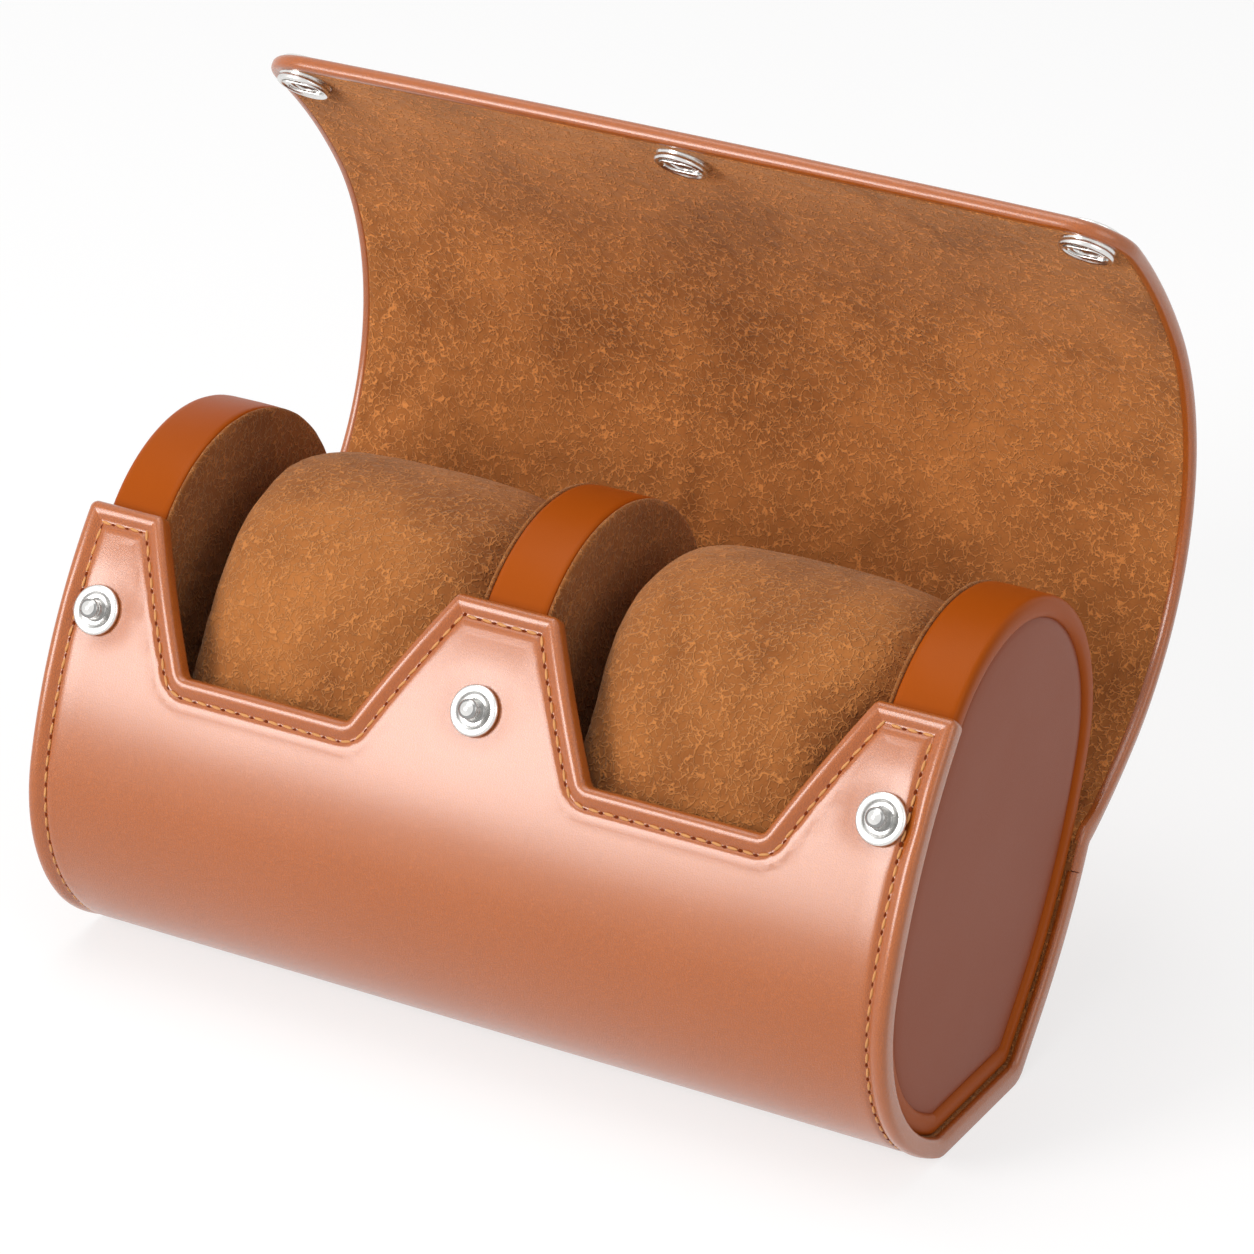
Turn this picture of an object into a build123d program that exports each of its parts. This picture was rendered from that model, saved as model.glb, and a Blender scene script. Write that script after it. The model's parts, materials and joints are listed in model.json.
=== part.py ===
from build123d import *
import math
import os

os.makedirs("parts", exist_ok=True)

# Frame: X runs along the roll, Y points to its back, Z is up.
# The origin lies on the flattened base that the roll rests on, straight below the oval's centre.

# Overall form
roll_length = 180.0
section_depth = 105.2
section_width = 74.8
side_bow = 1.9
lean_angle = 61.5
base_flat_depth = 2.4
base_front_radius = 8.0
base_back_radius = 6.0

# Layers of the wrap and of the flap
leather_thickness = 1.2
wrap_board_thickness = 1.4
suede_thickness = 0.8
flap_lining_thickness = 1.2
turned_edge = 1.2

# Front edge of the wrap: three tabs with two valleys between them
tab_top_level = 24.5
valley_level = -3.0
end_tab_width = 15.9
valley_end_margin = 29.6
valley_inner = 24.9
middle_tab_half = 10.4
tab_corner_radius = 1.5

# Oval panels: one in each end and one divider
band_width = 12.5
end_recess = 2.0
end_lip_width = 3.0
end_face_step = 0.4
panel_suede_margin = 0.2

# Cushions
cushion_side_gap = 6.3
cushion_end_clearance = 0.6
cushion_clearance = 1.6
cushion_cover = 1.0
cushion_end_drop = 4.5
cushion_shoulder = 5.0
cushion_shoulder_drop = 1.5
cushion_crown_start = 16.0
cushion_crown_drop = 0.5

# Press studs, sockets and caps
stud_level = 4.8
stud_end_margin = 8.4
plate_radius = 4.75
plate_height = 0.9
plate_rim = 1.3
plate_floor = 0.45
post_radius = 1.9
neck_radius = 1.5
post_height = 2.8
post_tip_radius = 0.5
shank_radius = 1.4
rivet_radius = 3.6
rivet_height = 0.6
socket_radius = 5.2
socket_height = 1.9
socket_bore = 2.4
socket_clearance = 0.1
socket_edge = 0.5
cap_radius = 5.6
cap_height = 1.3
cap_shank_height = 1.4

# Flap: where it folds, and how its strips curl
fold_level = 7.3
fold_opening = 37.0
curl_strips = 6
crown_clearance = 1.3
crown_shift_down = 0.4
crown_shift_front = 3.5
open_curl_radius = 56.0
strip_gap = 0.2
strip_relief = 3.0
tip_relief = 4.5
flap_edge_margin = 7.3
flap_edge_bow = 2.0
flap_corner_radius = 11.0

# Derived sizes of the section
half_length = roll_length / 2
half_width = section_width / 2
end_radius = half_width - side_bow
end_centre = section_depth / 2 - end_radius
crown_radius = end_radius + crown_clearance
side_radius = (end_centre**2 + half_width**2 - end_radius**2) / (2 * (half_width - end_radius))
side_centre = side_radius - half_width
junction = math.atan2(side_centre, end_centre)
lean_cos = math.cos(math.radians(lean_angle))
lean_sin = math.sin(math.radians(lean_angle))
base_distance = end_centre * lean_sin + end_radius - base_flat_depth
band_inset = leather_thickness + wrap_board_thickness + suede_thickness
flap_thickness = leather_thickness + flap_lining_thickness
snap_stack = plate_height + socket_clearance + socket_height

# Places along the roll
panel_outer = half_length - end_recess
panel_inner = panel_outer - band_width
slot_outer = panel_inner - suede_thickness
divider_half = band_width / 2
slot_inner = divider_half + suede_thickness


def world(point, x=0.0):
    """Point of the section, long axis first, as a vector in the roll's frame."""
    along, across = point
    return Vector(
        x,
        along * lean_cos - across * lean_sin,
        base_distance + along * lean_sin + across * lean_cos,
    )


def section_plane(x):
    """Plane across the roll whose axes follow the oval's long and short axes."""
    return Plane(origin=world((0, 0), x), x_dir=(0, lean_cos, lean_sin), z_dir=(1, 0, 0))


def prism(face, x_from, x_to):
    """Section face drawn out along the roll."""
    return extrude(section_plane(x_from) * face, amount=x_to - x_from)


def oval(inset):
    """Section of the roll inside its outer face: four arcs, with a base that sags flat."""
    corner_along = end_centre + (end_radius - inset) * math.cos(junction)
    corner_across = (end_radius - inset) * math.sin(junction)
    long_half = section_depth / 2 - inset
    short_half = half_width - inset
    outline = [
        ThreePointArc((corner_along, -corner_across), (long_half, 0), (corner_along, corner_across)),
        ThreePointArc((corner_along, corner_across), (0, short_half), (-corner_along, corner_across)),
        ThreePointArc((-corner_along, corner_across), (-long_half, 0), (-corner_along, -corner_across)),
        ThreePointArc((-corner_along, -corner_across), (0, -short_half), (corner_along, -corner_across)),
    ]
    face = make_face(outline)
    # The back side runs straight on from its arc, past the level of the base
    level = -(base_distance - inset)
    corner = (-corner_along, -corner_across)
    foot = (corner[0] - end_radius * math.sin(junction), corner[1] + end_radius * math.cos(junction))
    under = (-end_centre - section_depth * lean_sin, -section_depth * lean_cos)
    heel = make_face(Polyline(corner, foot, under, (-end_centre, 0), close=True))
    below = Rot(0, 0, math.degrees(math.atan2(-lean_cos, -lean_sin)))
    below = below * Pos(section_depth / 2 - level, 0)
    face = face + heel - below * Rectangle(section_depth, 2 * section_depth)
    ends = [v for v in face.vertices() if abs(v.X * lean_sin + v.Y * lean_cos - level) < 0.001]
    ends.sort(key=lambda v: v.X * lean_cos - v.Y * lean_sin)
    front_radius = max(base_front_radius - inset, turned_edge)
    back_radius = max(base_back_radius - inset, turned_edge)
    face = fillet(ends[0], front_radius)
    ends = [v for v in face.vertices() if abs(v.X * lean_sin + v.Y * lean_cos - level) < 0.001]
    ends.sort(key=lambda v: v.X * lean_cos - v.Y * lean_sin)
    return fillet(ends[-1], back_radius)


def ring(outer_inset, inner_inset, x_from, x_to):
    """One layer that follows the oval, drawn out along the roll."""
    return prism(oval(outer_inset) - oval(inner_inset), x_from, x_to)


def one_solid(shape):
    """The single solid of a shape."""
    return shape.solids()[0]


def save(shape, name):
    """Write one piece under its name."""
    export_step(shape, "parts/" + name + ".step")


def front_plane():
    """Plane through the oval's centre, looking at the front of the roll."""
    return Plane(origin=world((0, 0)), x_dir=(1, 0, 0), z_dir=(0, -lean_sin, lean_cos))


def above_front_edge(margin):
    """Solid that clears what lies above the tabs and valleys, with a margin for the turned edge."""
    side = half_length + section_width
    half = [
        (middle_tab_half, tab_top_level),
        (valley_inner, valley_level),
        (half_length - valley_end_margin, valley_level),
        (half_length - end_tab_width, tab_top_level),
        (side, tab_top_level),
        (side, section_depth),
    ]
    points = half + [(-x, level) for x, level in reversed(half)]
    outline = make_face(Polyline(*points, close=True))
    inner = [v for v in outline.vertices() if abs(v.X) < half_length]
    outline = fillet(inner, tab_corner_radius)
    if margin > 0:
        outline = offset(outline, amount=margin, kind=Kind.INTERSECTION)
    return extrude(front_plane() * outline, amount=section_width)


def behind_fold():
    """Solid that clears what lies beyond the fold line at the back."""
    turn = math.degrees(math.asin(fold_level / side_radius))
    place = Pos(0, side_centre) * Rot(0, 0, turn)
    reach = section_depth
    face = place * Pos(reach / 2 - strip_gap / 2, -side_centre - reach / 2) * Rectangle(reach, reach)
    return prism(face, -roll_length, roll_length)


def at_stud(x):
    """Frame on the front face at one press stud, with Z pointing out of the leather."""
    turn = math.asin(stud_level / side_radius)
    point = (side_radius * math.sin(turn), side_radius * math.cos(turn) - side_centre)
    outward = world((math.sin(turn), math.cos(turn))) - world((0, 0))
    return Plane(origin=world(point, x), x_dir=(1, 0, 0), z_dir=outward).location


def stud_places():
    """Places of the three press studs along the roll."""
    reach = half_length - stud_end_margin
    return [-reach, 0.0, reach]


def turned(points):
    """Solid of revolution about Z from an outline of radius and height."""
    return revolve(Plane.XZ * make_face(Polyline(*points, close=True)), axis=Axis.Z)


def make_wrap():
    """Leather with its turned edge, board and lining from the front tabs round to the fold."""
    inner_half = half_length - turned_edge
    board_inset = leather_thickness
    lining_inset = board_inset + wrap_board_thickness
    edge = above_front_edge(0)
    inner_edge = above_front_edge(turned_edge)
    fold = behind_fold()
    whole = ring(0, band_inset, -half_length, half_length) - edge - fold
    filling = ring(board_inset, band_inset, -inner_half, inner_half) - inner_edge - fold
    leather = whole - filling
    board = ring(board_inset, lining_inset, -inner_half, inner_half) - inner_edge - fold
    lining = ring(lining_inset, band_inset, -inner_half, inner_half) - inner_edge - fold
    through = Cylinder(shank_radius, 4 * band_inset)
    pocket_depth = lining_inset - rivet_height / 2
    pocket = Pos(0, 0, -pocket_depth) * Cylinder(rivet_radius, rivet_height)
    for x in stud_places():
        leather = leather - at_stud(x) * through
        board = board - at_stud(x) * through - at_stud(x) * pocket
    save(one_solid(leather), "wrap_leather")
    save(one_solid(board), "wrap_board")
    save(one_solid(lining), "wrap_lining")


def make_studs():
    """Three dished studs with pointed posts, and the rivets that hold them from inside."""
    shank_depth = leather_thickness + wrap_board_thickness - rivet_height
    post_top = plate_height + post_height
    dish_radius = plate_radius - plate_rim
    profile = [
        (0, -shank_depth),
        (shank_radius, -shank_depth),
        (shank_radius, 0),
        (plate_radius, 0),
        (plate_radius, plate_height / 2),
        (plate_radius - plate_height / 2, plate_height),
        (dish_radius, plate_height),
        (dish_radius - plate_floor, plate_floor),
        (post_radius, plate_floor),
        (neck_radius, plate_height + post_height * 0.3),
        (post_radius, plate_height + post_height * 0.55),
        (post_tip_radius, post_top),
        (0, post_top),
    ]
    stud = turned(profile)
    rivet = Pos(0, 0, -shank_depth - rivet_height / 2) * Cylinder(rivet_radius, rivet_height)
    save(Compound([one_solid(at_stud(x) * stud) for x in stud_places()]), "snap_studs")
    save(Compound([one_solid(at_stud(x) * rivet) for x in stud_places()]), "stud_rivets")


def mirrored(shape):
    """The same piece at the other end of the roll."""
    return mirror(shape, about=Plane.YZ)


def make_end_panels():
    """Core, leather band with its folded lip, sunk leather face and suede inner face."""
    core_inset = band_inset + leather_thickness
    lip_inset = core_inset + end_lip_width
    core_outer = panel_outer - leather_thickness
    core = prism(oval(core_inset), panel_inner, core_outer)
    band = ring(band_inset, core_inset, panel_inner, panel_outer)
    band = band + ring(core_inset, lip_inset, core_outer, panel_outer)
    face = prism(oval(lip_inset), core_outer, panel_outer - end_face_step)
    suede = prism(oval(band_inset + panel_suede_margin), slot_outer, panel_inner)
    pieces = {"core": core, "band": band, "face": face, "suede": suede}
    for name, piece in pieces.items():
        save(one_solid(piece), "end_panel_" + name + "_right")
        save(one_solid(mirrored(piece)), "end_panel_" + name + "_left")


def make_divider():
    """Core, leather band and two suede faces of the divider in the middle."""
    core_inset = band_inset + leather_thickness
    core = prism(oval(core_inset), -divider_half, divider_half)
    band = ring(band_inset, core_inset, -divider_half, divider_half)
    suede = prism(oval(band_inset + panel_suede_margin), divider_half, slot_inner)
    save(one_solid(core), "divider_core")
    save(one_solid(band), "divider_band")
    save(one_solid(suede), "divider_suede_right")
    save(one_solid(mirrored(suede)), "divider_suede_left")


def pillow(x_from, x_to, inset):
    """Crowned oval cushion with drawn-in ends, resting on the lining."""
    drop = Pos(-lean_sin * cushion_clearance, -lean_cos * cushion_clearance)
    fit = band_inset + cushion_clearance
    rises = [
        (inset, cushion_end_drop),
        (inset + cushion_shoulder, cushion_shoulder_drop),
        (inset + cushion_crown_start, cushion_crown_drop),
    ]
    stations = [(x_from + place, fall) for place, fall in rises]
    stations.append(((x_from + x_to) / 2, 0))
    stations += [(x_to - place, fall) for place, fall in reversed(rises)]
    sections = [section_plane(x) * drop * oval(fit + inset + fall) for x, fall in stations]
    return loft(sections)


def make_cushions():
    """Two foam cushions in suede covers, each pushed towards the right of its slot."""
    length = slot_outer - slot_inner - cushion_side_gap - cushion_end_clearance
    for name, slot_end in (("left", -slot_inner), ("right", slot_outer)):
        x_to = slot_end - cushion_end_clearance
        x_from = x_to - length
        foam = pillow(x_from, x_to, cushion_cover)
        cover = pillow(x_from, x_to, 0) - foam
        save(one_solid(foam), "cushion_foam_" + name)
        save(one_solid(cover), "cushion_cover_" + name)


def polar(centre, radius, angle):
    """Section point at a distance and an angle from a centre."""
    return (centre[0] + radius * math.cos(angle), centre[1] + radius * math.sin(angle))


def crossing(centre_a, radius_a, centre_b, radius_b):
    """The crossing of two circles that lies further up the oval's long axis."""
    dx = centre_b[0] - centre_a[0]
    dy = centre_b[1] - centre_a[1]
    apart = math.hypot(dx, dy)
    along = (apart**2 + radius_a**2 - radius_b**2) / (2 * apart)
    aside = math.sqrt(radius_a**2 - along**2)
    foot = (centre_a[0] + along * dx / apart, centre_a[1] + along * dy / apart)
    pair = [(foot[0] + s * aside * dy / apart, foot[1] - s * aside * dx / apart) for s in (1, -1)]
    return max(pair)


class Strip:
    """One strip of the flap in its closed place: an arc of its inner face, drawn out along X."""

    def __init__(self, centre, radius, start, end, start_relief, end_relief):
        self.centre = centre
        self.radius = radius
        self.start = start
        self.end = end
        self.start_relief = start_relief
        self.end_relief = end_relief

    def corner(self, angle, side, relief, height):
        """Corner of the strip at a height above its inner face, set back by gap and relief."""
        back = strip_gap / 2 + height * math.tan(math.radians(relief))
        return polar(self.centre, self.radius + height, angle + side * back / self.radius)

    def face(self, low, high):
        """Section of one layer between two heights above the inner face."""
        middle = (self.start + self.end) / 2
        lower = [
            self.corner(self.start, 1, self.start_relief, low),
            polar(self.centre, self.radius + low, middle),
            self.corner(self.end, -1, self.end_relief, low),
        ]
        upper = [
            self.corner(self.end, -1, self.end_relief, high),
            polar(self.centre, self.radius + high, middle),
            self.corner(self.start, 1, self.start_relief, high),
        ]
        outline = [
            ThreePointArc(*lower),
            Line(lower[2], upper[0]),
            ThreePointArc(*upper),
            Line(upper[2], lower[0]),
        ]
        return make_face(outline)


def closed_strips():
    """Strips of the closed flap and their hinge points, from the fold to the free edge."""
    base_centre = (0, side_centre)
    base_radius = side_radius - flap_thickness
    tip_centre = (0, -side_centre)
    tip_radius = side_radius + snap_stack
    crown = (end_centre - crown_shift_down, crown_shift_front)
    first = crossing(base_centre, base_radius, crown, crown_radius)
    last = crossing(tip_centre, tip_radius, crown, crown_radius)
    down = -math.pi / 2
    fold_angle = down + math.asin(fold_level / side_radius)
    first_angle = math.atan2(first[1] - base_centre[1], first[0])
    strips = [Strip(base_centre, base_radius, fold_angle, first_angle, 0, strip_relief)]
    hinges = [polar(base_centre, side_radius, fold_angle)]
    start = math.atan2(first[1] - crown[1], first[0] - crown[0])
    end = math.atan2(last[1] - crown[1], last[0] - crown[0])
    step = (end - start) / curl_strips
    chord = 2 * crown_radius * math.sin(step / 2)
    own_half = math.asin(chord / (2 * open_curl_radius))
    for number in range(curl_strips):
        point = polar(crown, crown_radius, start + number * step)
        heading = start + (number + 0.5) * step
        centre = polar(point, -open_curl_radius, heading - own_half)
        end_relief = tip_relief if number == curl_strips - 1 else strip_relief
        strip = Strip(
            centre, open_curl_radius, heading - own_half, heading + own_half, strip_relief, end_relief
        )
        strips.append(strip)
        hinges.append(point)
    stud_turn = math.asin(stud_level / side_radius)
    tip_start = math.atan2(last[1] - tip_centre[1], last[0])
    beyond = (flap_edge_margin + flap_edge_bow + turned_edge) / tip_radius
    tip_end = math.pi / 2 - stud_turn + beyond
    strips.append(Strip(tip_centre, tip_radius, tip_start, tip_end, tip_relief, 0))
    hinges.append(last)
    return strips, hinges


def opening_angles(strips):
    """Turns from closed to open: the fold leans back, and the strips meet without a kink."""
    turns = [fold_opening]
    for before, after in zip(strips, strips[1:]):
        turns.append(math.degrees(after.start - before.end))
    return turns


def opened(strips, hinges):
    """Location of each strip in the open pose, relative to its closed place."""
    places = []
    place = Pos(0, 0, 0)
    for hinge, turn in zip(hinges, opening_angles(strips)):
        pivot = world(hinge)
        place = place * Pos(pivot) * Rot(-turn, 0, 0) * Pos(-pivot)
        places.append(place)
    return places


def flap_outline(margin):
    """Solid over the flap's plan, with its bowed free edge and round corners, less a margin."""
    half = half_length - margin
    edge = -flap_edge_margin + margin
    bow = edge - flap_edge_bow
    far = section_depth
    outline = make_face([
        Line((half, edge), (half, far)),
        Line((half, far), (-half, far)),
        Line((-half, far), (-half, edge)),
        ThreePointArc((-half, edge), (0, bow), (half, edge)),
    ])
    corners = [v for v in outline.vertices() if v.Y < 0]
    outline = fillet(corners, flap_corner_radius - margin)
    place = at_stud(0) * Pos(0, 0, -section_width)
    return extrude(place * outline, amount=2 * section_width)


def make_flap():
    """Strips of leather and suede lining, with sockets and caps in the last one."""
    strips, hinges = closed_strips()
    places = opened(strips, hinges)
    inner_half = half_length - turned_edge
    for number, (strip, place) in enumerate(zip(strips, places), start=1):
        whole = prism(strip.face(0, flap_thickness), -half_length, half_length)
        lining = prism(strip.face(0, flap_lining_thickness), -inner_half, inner_half)
        if number == len(strips):
            whole = whole & flap_outline(0)
            lining = lining & flap_outline(turned_edge)
        leather = whole - lining
        if number == len(strips):
            for x in stud_places():
                hole = at_stud(x) * Cylinder(socket_bore, 2 * (snap_stack + 2 * flap_thickness))
                leather = leather - hole
                lining = lining - hole
        save(one_solid(place * leather), "flap_leather_" + str(number))
        save(one_solid(place * lining), "flap_lining_" + str(number))
    make_sockets(places[-1])
    report_hinges(strips, hinges, places)


def make_sockets(place):
    """Sockets on the lining and domed caps outside, riveted together through the flap."""
    low = snap_stack - socket_height
    high = snap_stack - socket_radius**2 / (2 * side_radius)
    socket = turned([
        (socket_bore, low),
        (socket_radius - socket_edge, low),
        (socket_radius, low + socket_edge),
        (socket_radius, high),
        (socket_bore, high),
    ])
    outside = snap_stack + flap_thickness
    cap = turned([
        (0, outside - cap_shank_height),
        (socket_bore, outside - cap_shank_height),
        (socket_bore, outside),
        (cap_radius, outside),
        (cap_radius, outside + cap_height * 0.4),
        (cap_radius * 0.7, outside + cap_height * 0.85),
        (0, outside + cap_height),
    ])
    sockets = [one_solid(place * at_stud(x) * socket) for x in stud_places()]
    caps = [one_solid(place * at_stud(x) * cap) for x in stud_places()]
    save(Compound(sockets), "snap_sockets")
    save(Compound(caps), "snap_caps")


def report_hinges(strips, hinges, places):
    """Print each hinge line of the open flap and its turn to the closed pose."""
    parent = Pos(0, 0, 0)
    for number, (hinge, turn) in enumerate(zip(hinges, opening_angles(strips)), start=1):
        pivot = (parent * Pos(world(hinge))).position
        parent = places[number - 1]
        print("hinge", number, "y", round(pivot.Y, 4), "z", round(pivot.Z, 4), "turn", round(turn, 3))


make_wrap()
make_studs()
make_end_panels()
make_divider()
make_cushions()
make_flap()
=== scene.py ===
import json
import math

import bmesh
import bpy
from mathutils import Matrix, Vector, noise


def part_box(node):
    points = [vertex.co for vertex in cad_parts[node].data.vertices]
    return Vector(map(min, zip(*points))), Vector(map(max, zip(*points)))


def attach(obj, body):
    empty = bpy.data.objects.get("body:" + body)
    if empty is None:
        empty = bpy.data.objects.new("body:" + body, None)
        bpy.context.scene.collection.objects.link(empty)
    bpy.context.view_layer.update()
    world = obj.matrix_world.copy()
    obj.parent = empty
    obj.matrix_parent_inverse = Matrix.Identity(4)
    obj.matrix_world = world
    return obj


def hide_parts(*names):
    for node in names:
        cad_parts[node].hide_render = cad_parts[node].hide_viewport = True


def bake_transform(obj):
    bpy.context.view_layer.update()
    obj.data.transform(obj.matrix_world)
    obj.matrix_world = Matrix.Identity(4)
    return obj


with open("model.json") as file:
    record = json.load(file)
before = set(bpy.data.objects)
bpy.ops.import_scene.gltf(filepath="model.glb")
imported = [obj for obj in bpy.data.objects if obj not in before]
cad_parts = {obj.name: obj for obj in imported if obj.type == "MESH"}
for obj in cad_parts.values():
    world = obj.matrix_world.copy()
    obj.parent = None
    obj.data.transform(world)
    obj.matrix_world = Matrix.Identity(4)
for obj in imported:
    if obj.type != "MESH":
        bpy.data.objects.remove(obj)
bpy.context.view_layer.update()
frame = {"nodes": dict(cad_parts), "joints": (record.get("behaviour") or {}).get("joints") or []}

bl_info = {
    "name": "Watch roll maker",
    "version": (1, 0, 0),
    "blender": (4, 5, 0),
    "location": "3D View > Sidebar > Watch Roll",
    "description": "Makes a watch roll with suede cushions, a notched front and a curling flap",
    "category": "Add Mesh",
}

MM = 0.001
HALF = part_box("wrap_leather")[1].x

# The hinge lines across the flap, and the bodies that they join one after another
HINGES = [Vector(joint["pos_m"]) for joint in frame["joints"]]
STRIPS = len(HINGES)
OPENING = math.radians(frame["joints"][0]["range_deg"][1])


def size(label, text, value):
    """A length that a user can change, in metres."""
    return bpy.props.FloatProperty(
        name=label, description=text, default=value * MM, unit="LENGTH", precision=5
    )


def tint(label, text, value):
    """A colour that a user can change."""
    return bpy.props.FloatVectorProperty(
        name=label, description=text, default=value, subtype="COLOR", min=0, max=1, size=3
    )


class RollSizes(bpy.types.PropertyGroup):
    """Sizes of the roll's section and of its layers."""

    depth: size("Section depth", "Long axis of the oval section", 105.2)
    width: size("Section width", "Short axis of the oval section", 74.8)
    end_radius: size("End radius", "Radius of the section's two narrow ends", 35.5)
    lean: bpy.props.FloatProperty(
        name="Lean", description="Angle of the long axis above the floor",
        default=math.radians(61.5), subtype="ANGLE",
    )
    base_flat: size("Base flat", "How far the base is flattened", 2.4)
    front_foot: size("Front foot", "Radius at the base's front edge", 8)
    back_foot: size("Back foot", "Radius at the base's back edge", 6)
    leather: size("Leather", "Thickness of the leather", 1.2)
    wrap: size("Wrap", "Thickness of the wrap with its board and lining", 3.4)
    flap: size("Flap", "Thickness of the flap with its lining", 2.4)
    rim_rise: size("Rim rise", "How far the turned rim stands above the leather", 0.5)
    rim_width: size("Rim width", "Distance from an edge to its line of stitches", 3.8)
    flap_rim: size("Flap rim", "Width of the leather turned in over the suede", 2.1)


class FrontSizes(bpy.types.PropertyGroup):
    """Sizes of the three tabs at the front, and of the press studs on them."""

    tab_top: size("Tab top", "Level of the tabs' tops along the oval", 24.5)
    valley: size("Valley", "Level of the valleys between the tabs", -3)
    end_tab: size("End tab", "Inner corner of an end tab's top", 74.1)
    valley_outer: size("Valley outer", "Outer corner of a valley", 60.4)
    valley_inner: size("Valley inner", "Inner corner of a valley", 24.9)
    middle_tab: size("Middle tab", "Half width of the middle tab's top", 10.4)
    corner: size("Corner", "Radius of the tabs' corners", 1.5)
    stud_level: size("Stud level", "Level of the press studs along the oval", 4.8)
    stud_reach: size("Stud reach", "Distance of the outer studs from the middle", 81.6)
    stud: size("Stud", "Radius of a press stud's plate", 4.75)
    stitch: size("Stitch", "Length of one stitch", 2.15)
    stitch_pitch: size("Stitch pitch", "Distance from one stitch to the next", 3.1)


class InsideSizes(bpy.types.PropertyGroup):
    """Sizes of the oval panels and of the cushions between them."""

    panel_outer: size("Panel outside", "Outer face of an end panel", 88)
    panel_inner: size("Panel inside", "Inner face of an end panel", 75.5)
    divider: size("Divider", "Half width of the divider", 6.25)
    suede: size("Suede", "Thickness of the suede on a panel", 0.8)
    lip: size("Lip", "Width of the band's lip on an end panel", 3)
    cushion_gap: size("Cushion gap", "Gap at the left of a cushion", 6.3)
    cushion_end: size("Cushion end", "Gap at the right of a cushion", 0.6)
    cushion_fit: size("Cushion fit", "Gap between a cushion and the lining", 1.6)
    cushion_swell: size("Cushion swell", "Largest swelling of a stuffed cushion", 1.3)


class RollFinish(bpy.types.PropertyGroup):
    """Colours of the roll's leather, suede, thread and metal."""

    leather: tint("Leather", "Colour of the wrap's leather", (0.41, 0.090, 0.008))
    leather_dark: tint(
        "Leather folds", "Colour of the leather's grain and folds", (0.22, 0.036, 0.008)
    )
    band: tint("Bands", "Colour of the leather round the panels", (0.35, 0.066, 0.003))
    # The end faces' colour is darker and duskier than the wrap's leather: partly its own tone,
    # partly painted shade of the dimmer ends.
    face: tint("End faces", "Colour of the leather on the ends", (0.25, 0.050, 0.018))
    suede: tint("Suede", "Colour of the suede's nap", (0.56, 0.205, 0.052))
    # Painted shade: the dark colour given to the hollows between the suede's fibres.
    suede_hollow_shade: tint("Suede hollows", "Colour between the suede's fibres", (0.155, 0.042, 0.009))
    thread: tint("Thread", "Colour of the stitching", (0.70, 0.34, 0.13))
    nickel: tint("Nickel", "Colour of the press studs", (0.80, 0.79, 0.77))


# The roll's section and the course that the leather follows round it

QUARTER = math.pi / 2
RUN_STEPS = (56, 22, 40, 8, 8, 8, 6, 26)   # points on each run of the closed oval
FOLD_BEND = 3.0 * MM        # radius in which the open flap leans back at the fold
CURL_RADIUS = 56 * MM       # inside of the open flap between its second hinge and its last
TIP_FLATTER = 2.9 * MM      # how much larger the tip's radius is than the oval's side
TIP_SWEEP = 0.5             # angle of the tip's arc, longer than the flap
FIND_STEPS = 4000


def direction(angle):
    """Unit vector at an angle from Y towards Z."""
    return Vector((math.cos(angle), math.sin(angle)))


def angle_of(way):
    """Angle of a direction from Y towards Z."""
    return math.atan2(way.y, way.x)


def flat_point(point):
    """The section's two coordinates of a point in space."""
    return Vector((point.y, point.z))


class Course:
    """A line of arcs and straights in the section, measured by the distance along it."""

    def __init__(self):
        self.runs = []
        self.length = 0.0

    def add_run(self, length, place_at):
        """Adds a run; place_at gives the point and the outward normal at a share of it."""
        self.runs.append((self.length, length, place_at))
        self.length += length

    def arc(self, centre, radius, start, end, side=1):
        """Adds an arc; side is -1 where its centre lies outside, as where the flap leans back."""
        def place_at(share):
            way = direction(start + (end - start) * share)
            return centre + way * radius, way * side
        self.add_run(abs(end - start) * radius, place_at)

    def line(self, start, end, normal):
        """Adds a straight."""
        self.add_run((end - start).length, lambda share: (start + (end - start) * share, normal))

    def at(self, distance):
        """Point and outward normal at a distance from the start."""
        begin, length, place_at = self.runs[0]
        for run in self.runs:
            if run[0] <= distance:
                begin, length, place_at = run
        return place_at((distance - begin) / length)


def section(sizes, inset):
    """Facts of the oval section at a depth under the outer face."""
    lean = sizes.lean
    along, across = direction(lean), direction(lean + QUARTER)
    reach = sizes.depth / 2 - sizes.end_radius
    half = sizes.width / 2
    side = (reach**2 + half**2 - sizes.end_radius**2) / (2 * (half - sizes.end_radius))
    middle = Vector((0, reach * math.sin(lean) + sizes.end_radius - sizes.base_flat))
    join = math.atan2(side - half, reach)
    end, low = sizes.end_radius - inset, middle - along * reach
    facts = {
        "lean": lean, "join": join, "side": side - inset, "end": end,
        "front_centre": middle - across * (side - half),
        "back_centre": middle + across * (side - half),
        "top_centre": middle + along * reach, "low_centre": low,
    }
    front = max(sizes.front_foot - inset, sizes.leather)
    rise = inset + front
    reach_in = math.sqrt((end - front) ** 2 - (rise - low.y) ** 2)
    facts["front_foot"] = (Vector((low.x - reach_in, rise)), front)
    back = max(sizes.back_foot - inset, sizes.leather)
    rise = inset + back
    normal_angle = math.pi + join + lean
    normal = direction(normal_angle)
    corner = low + normal * end
    y = corner.x + (-back - (rise - corner.y) * normal.y) / normal.x
    facts["back_foot"] = (Vector((y, rise)), back)
    facts["heel"] = (normal, normal_angle, corner)
    return facts


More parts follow.
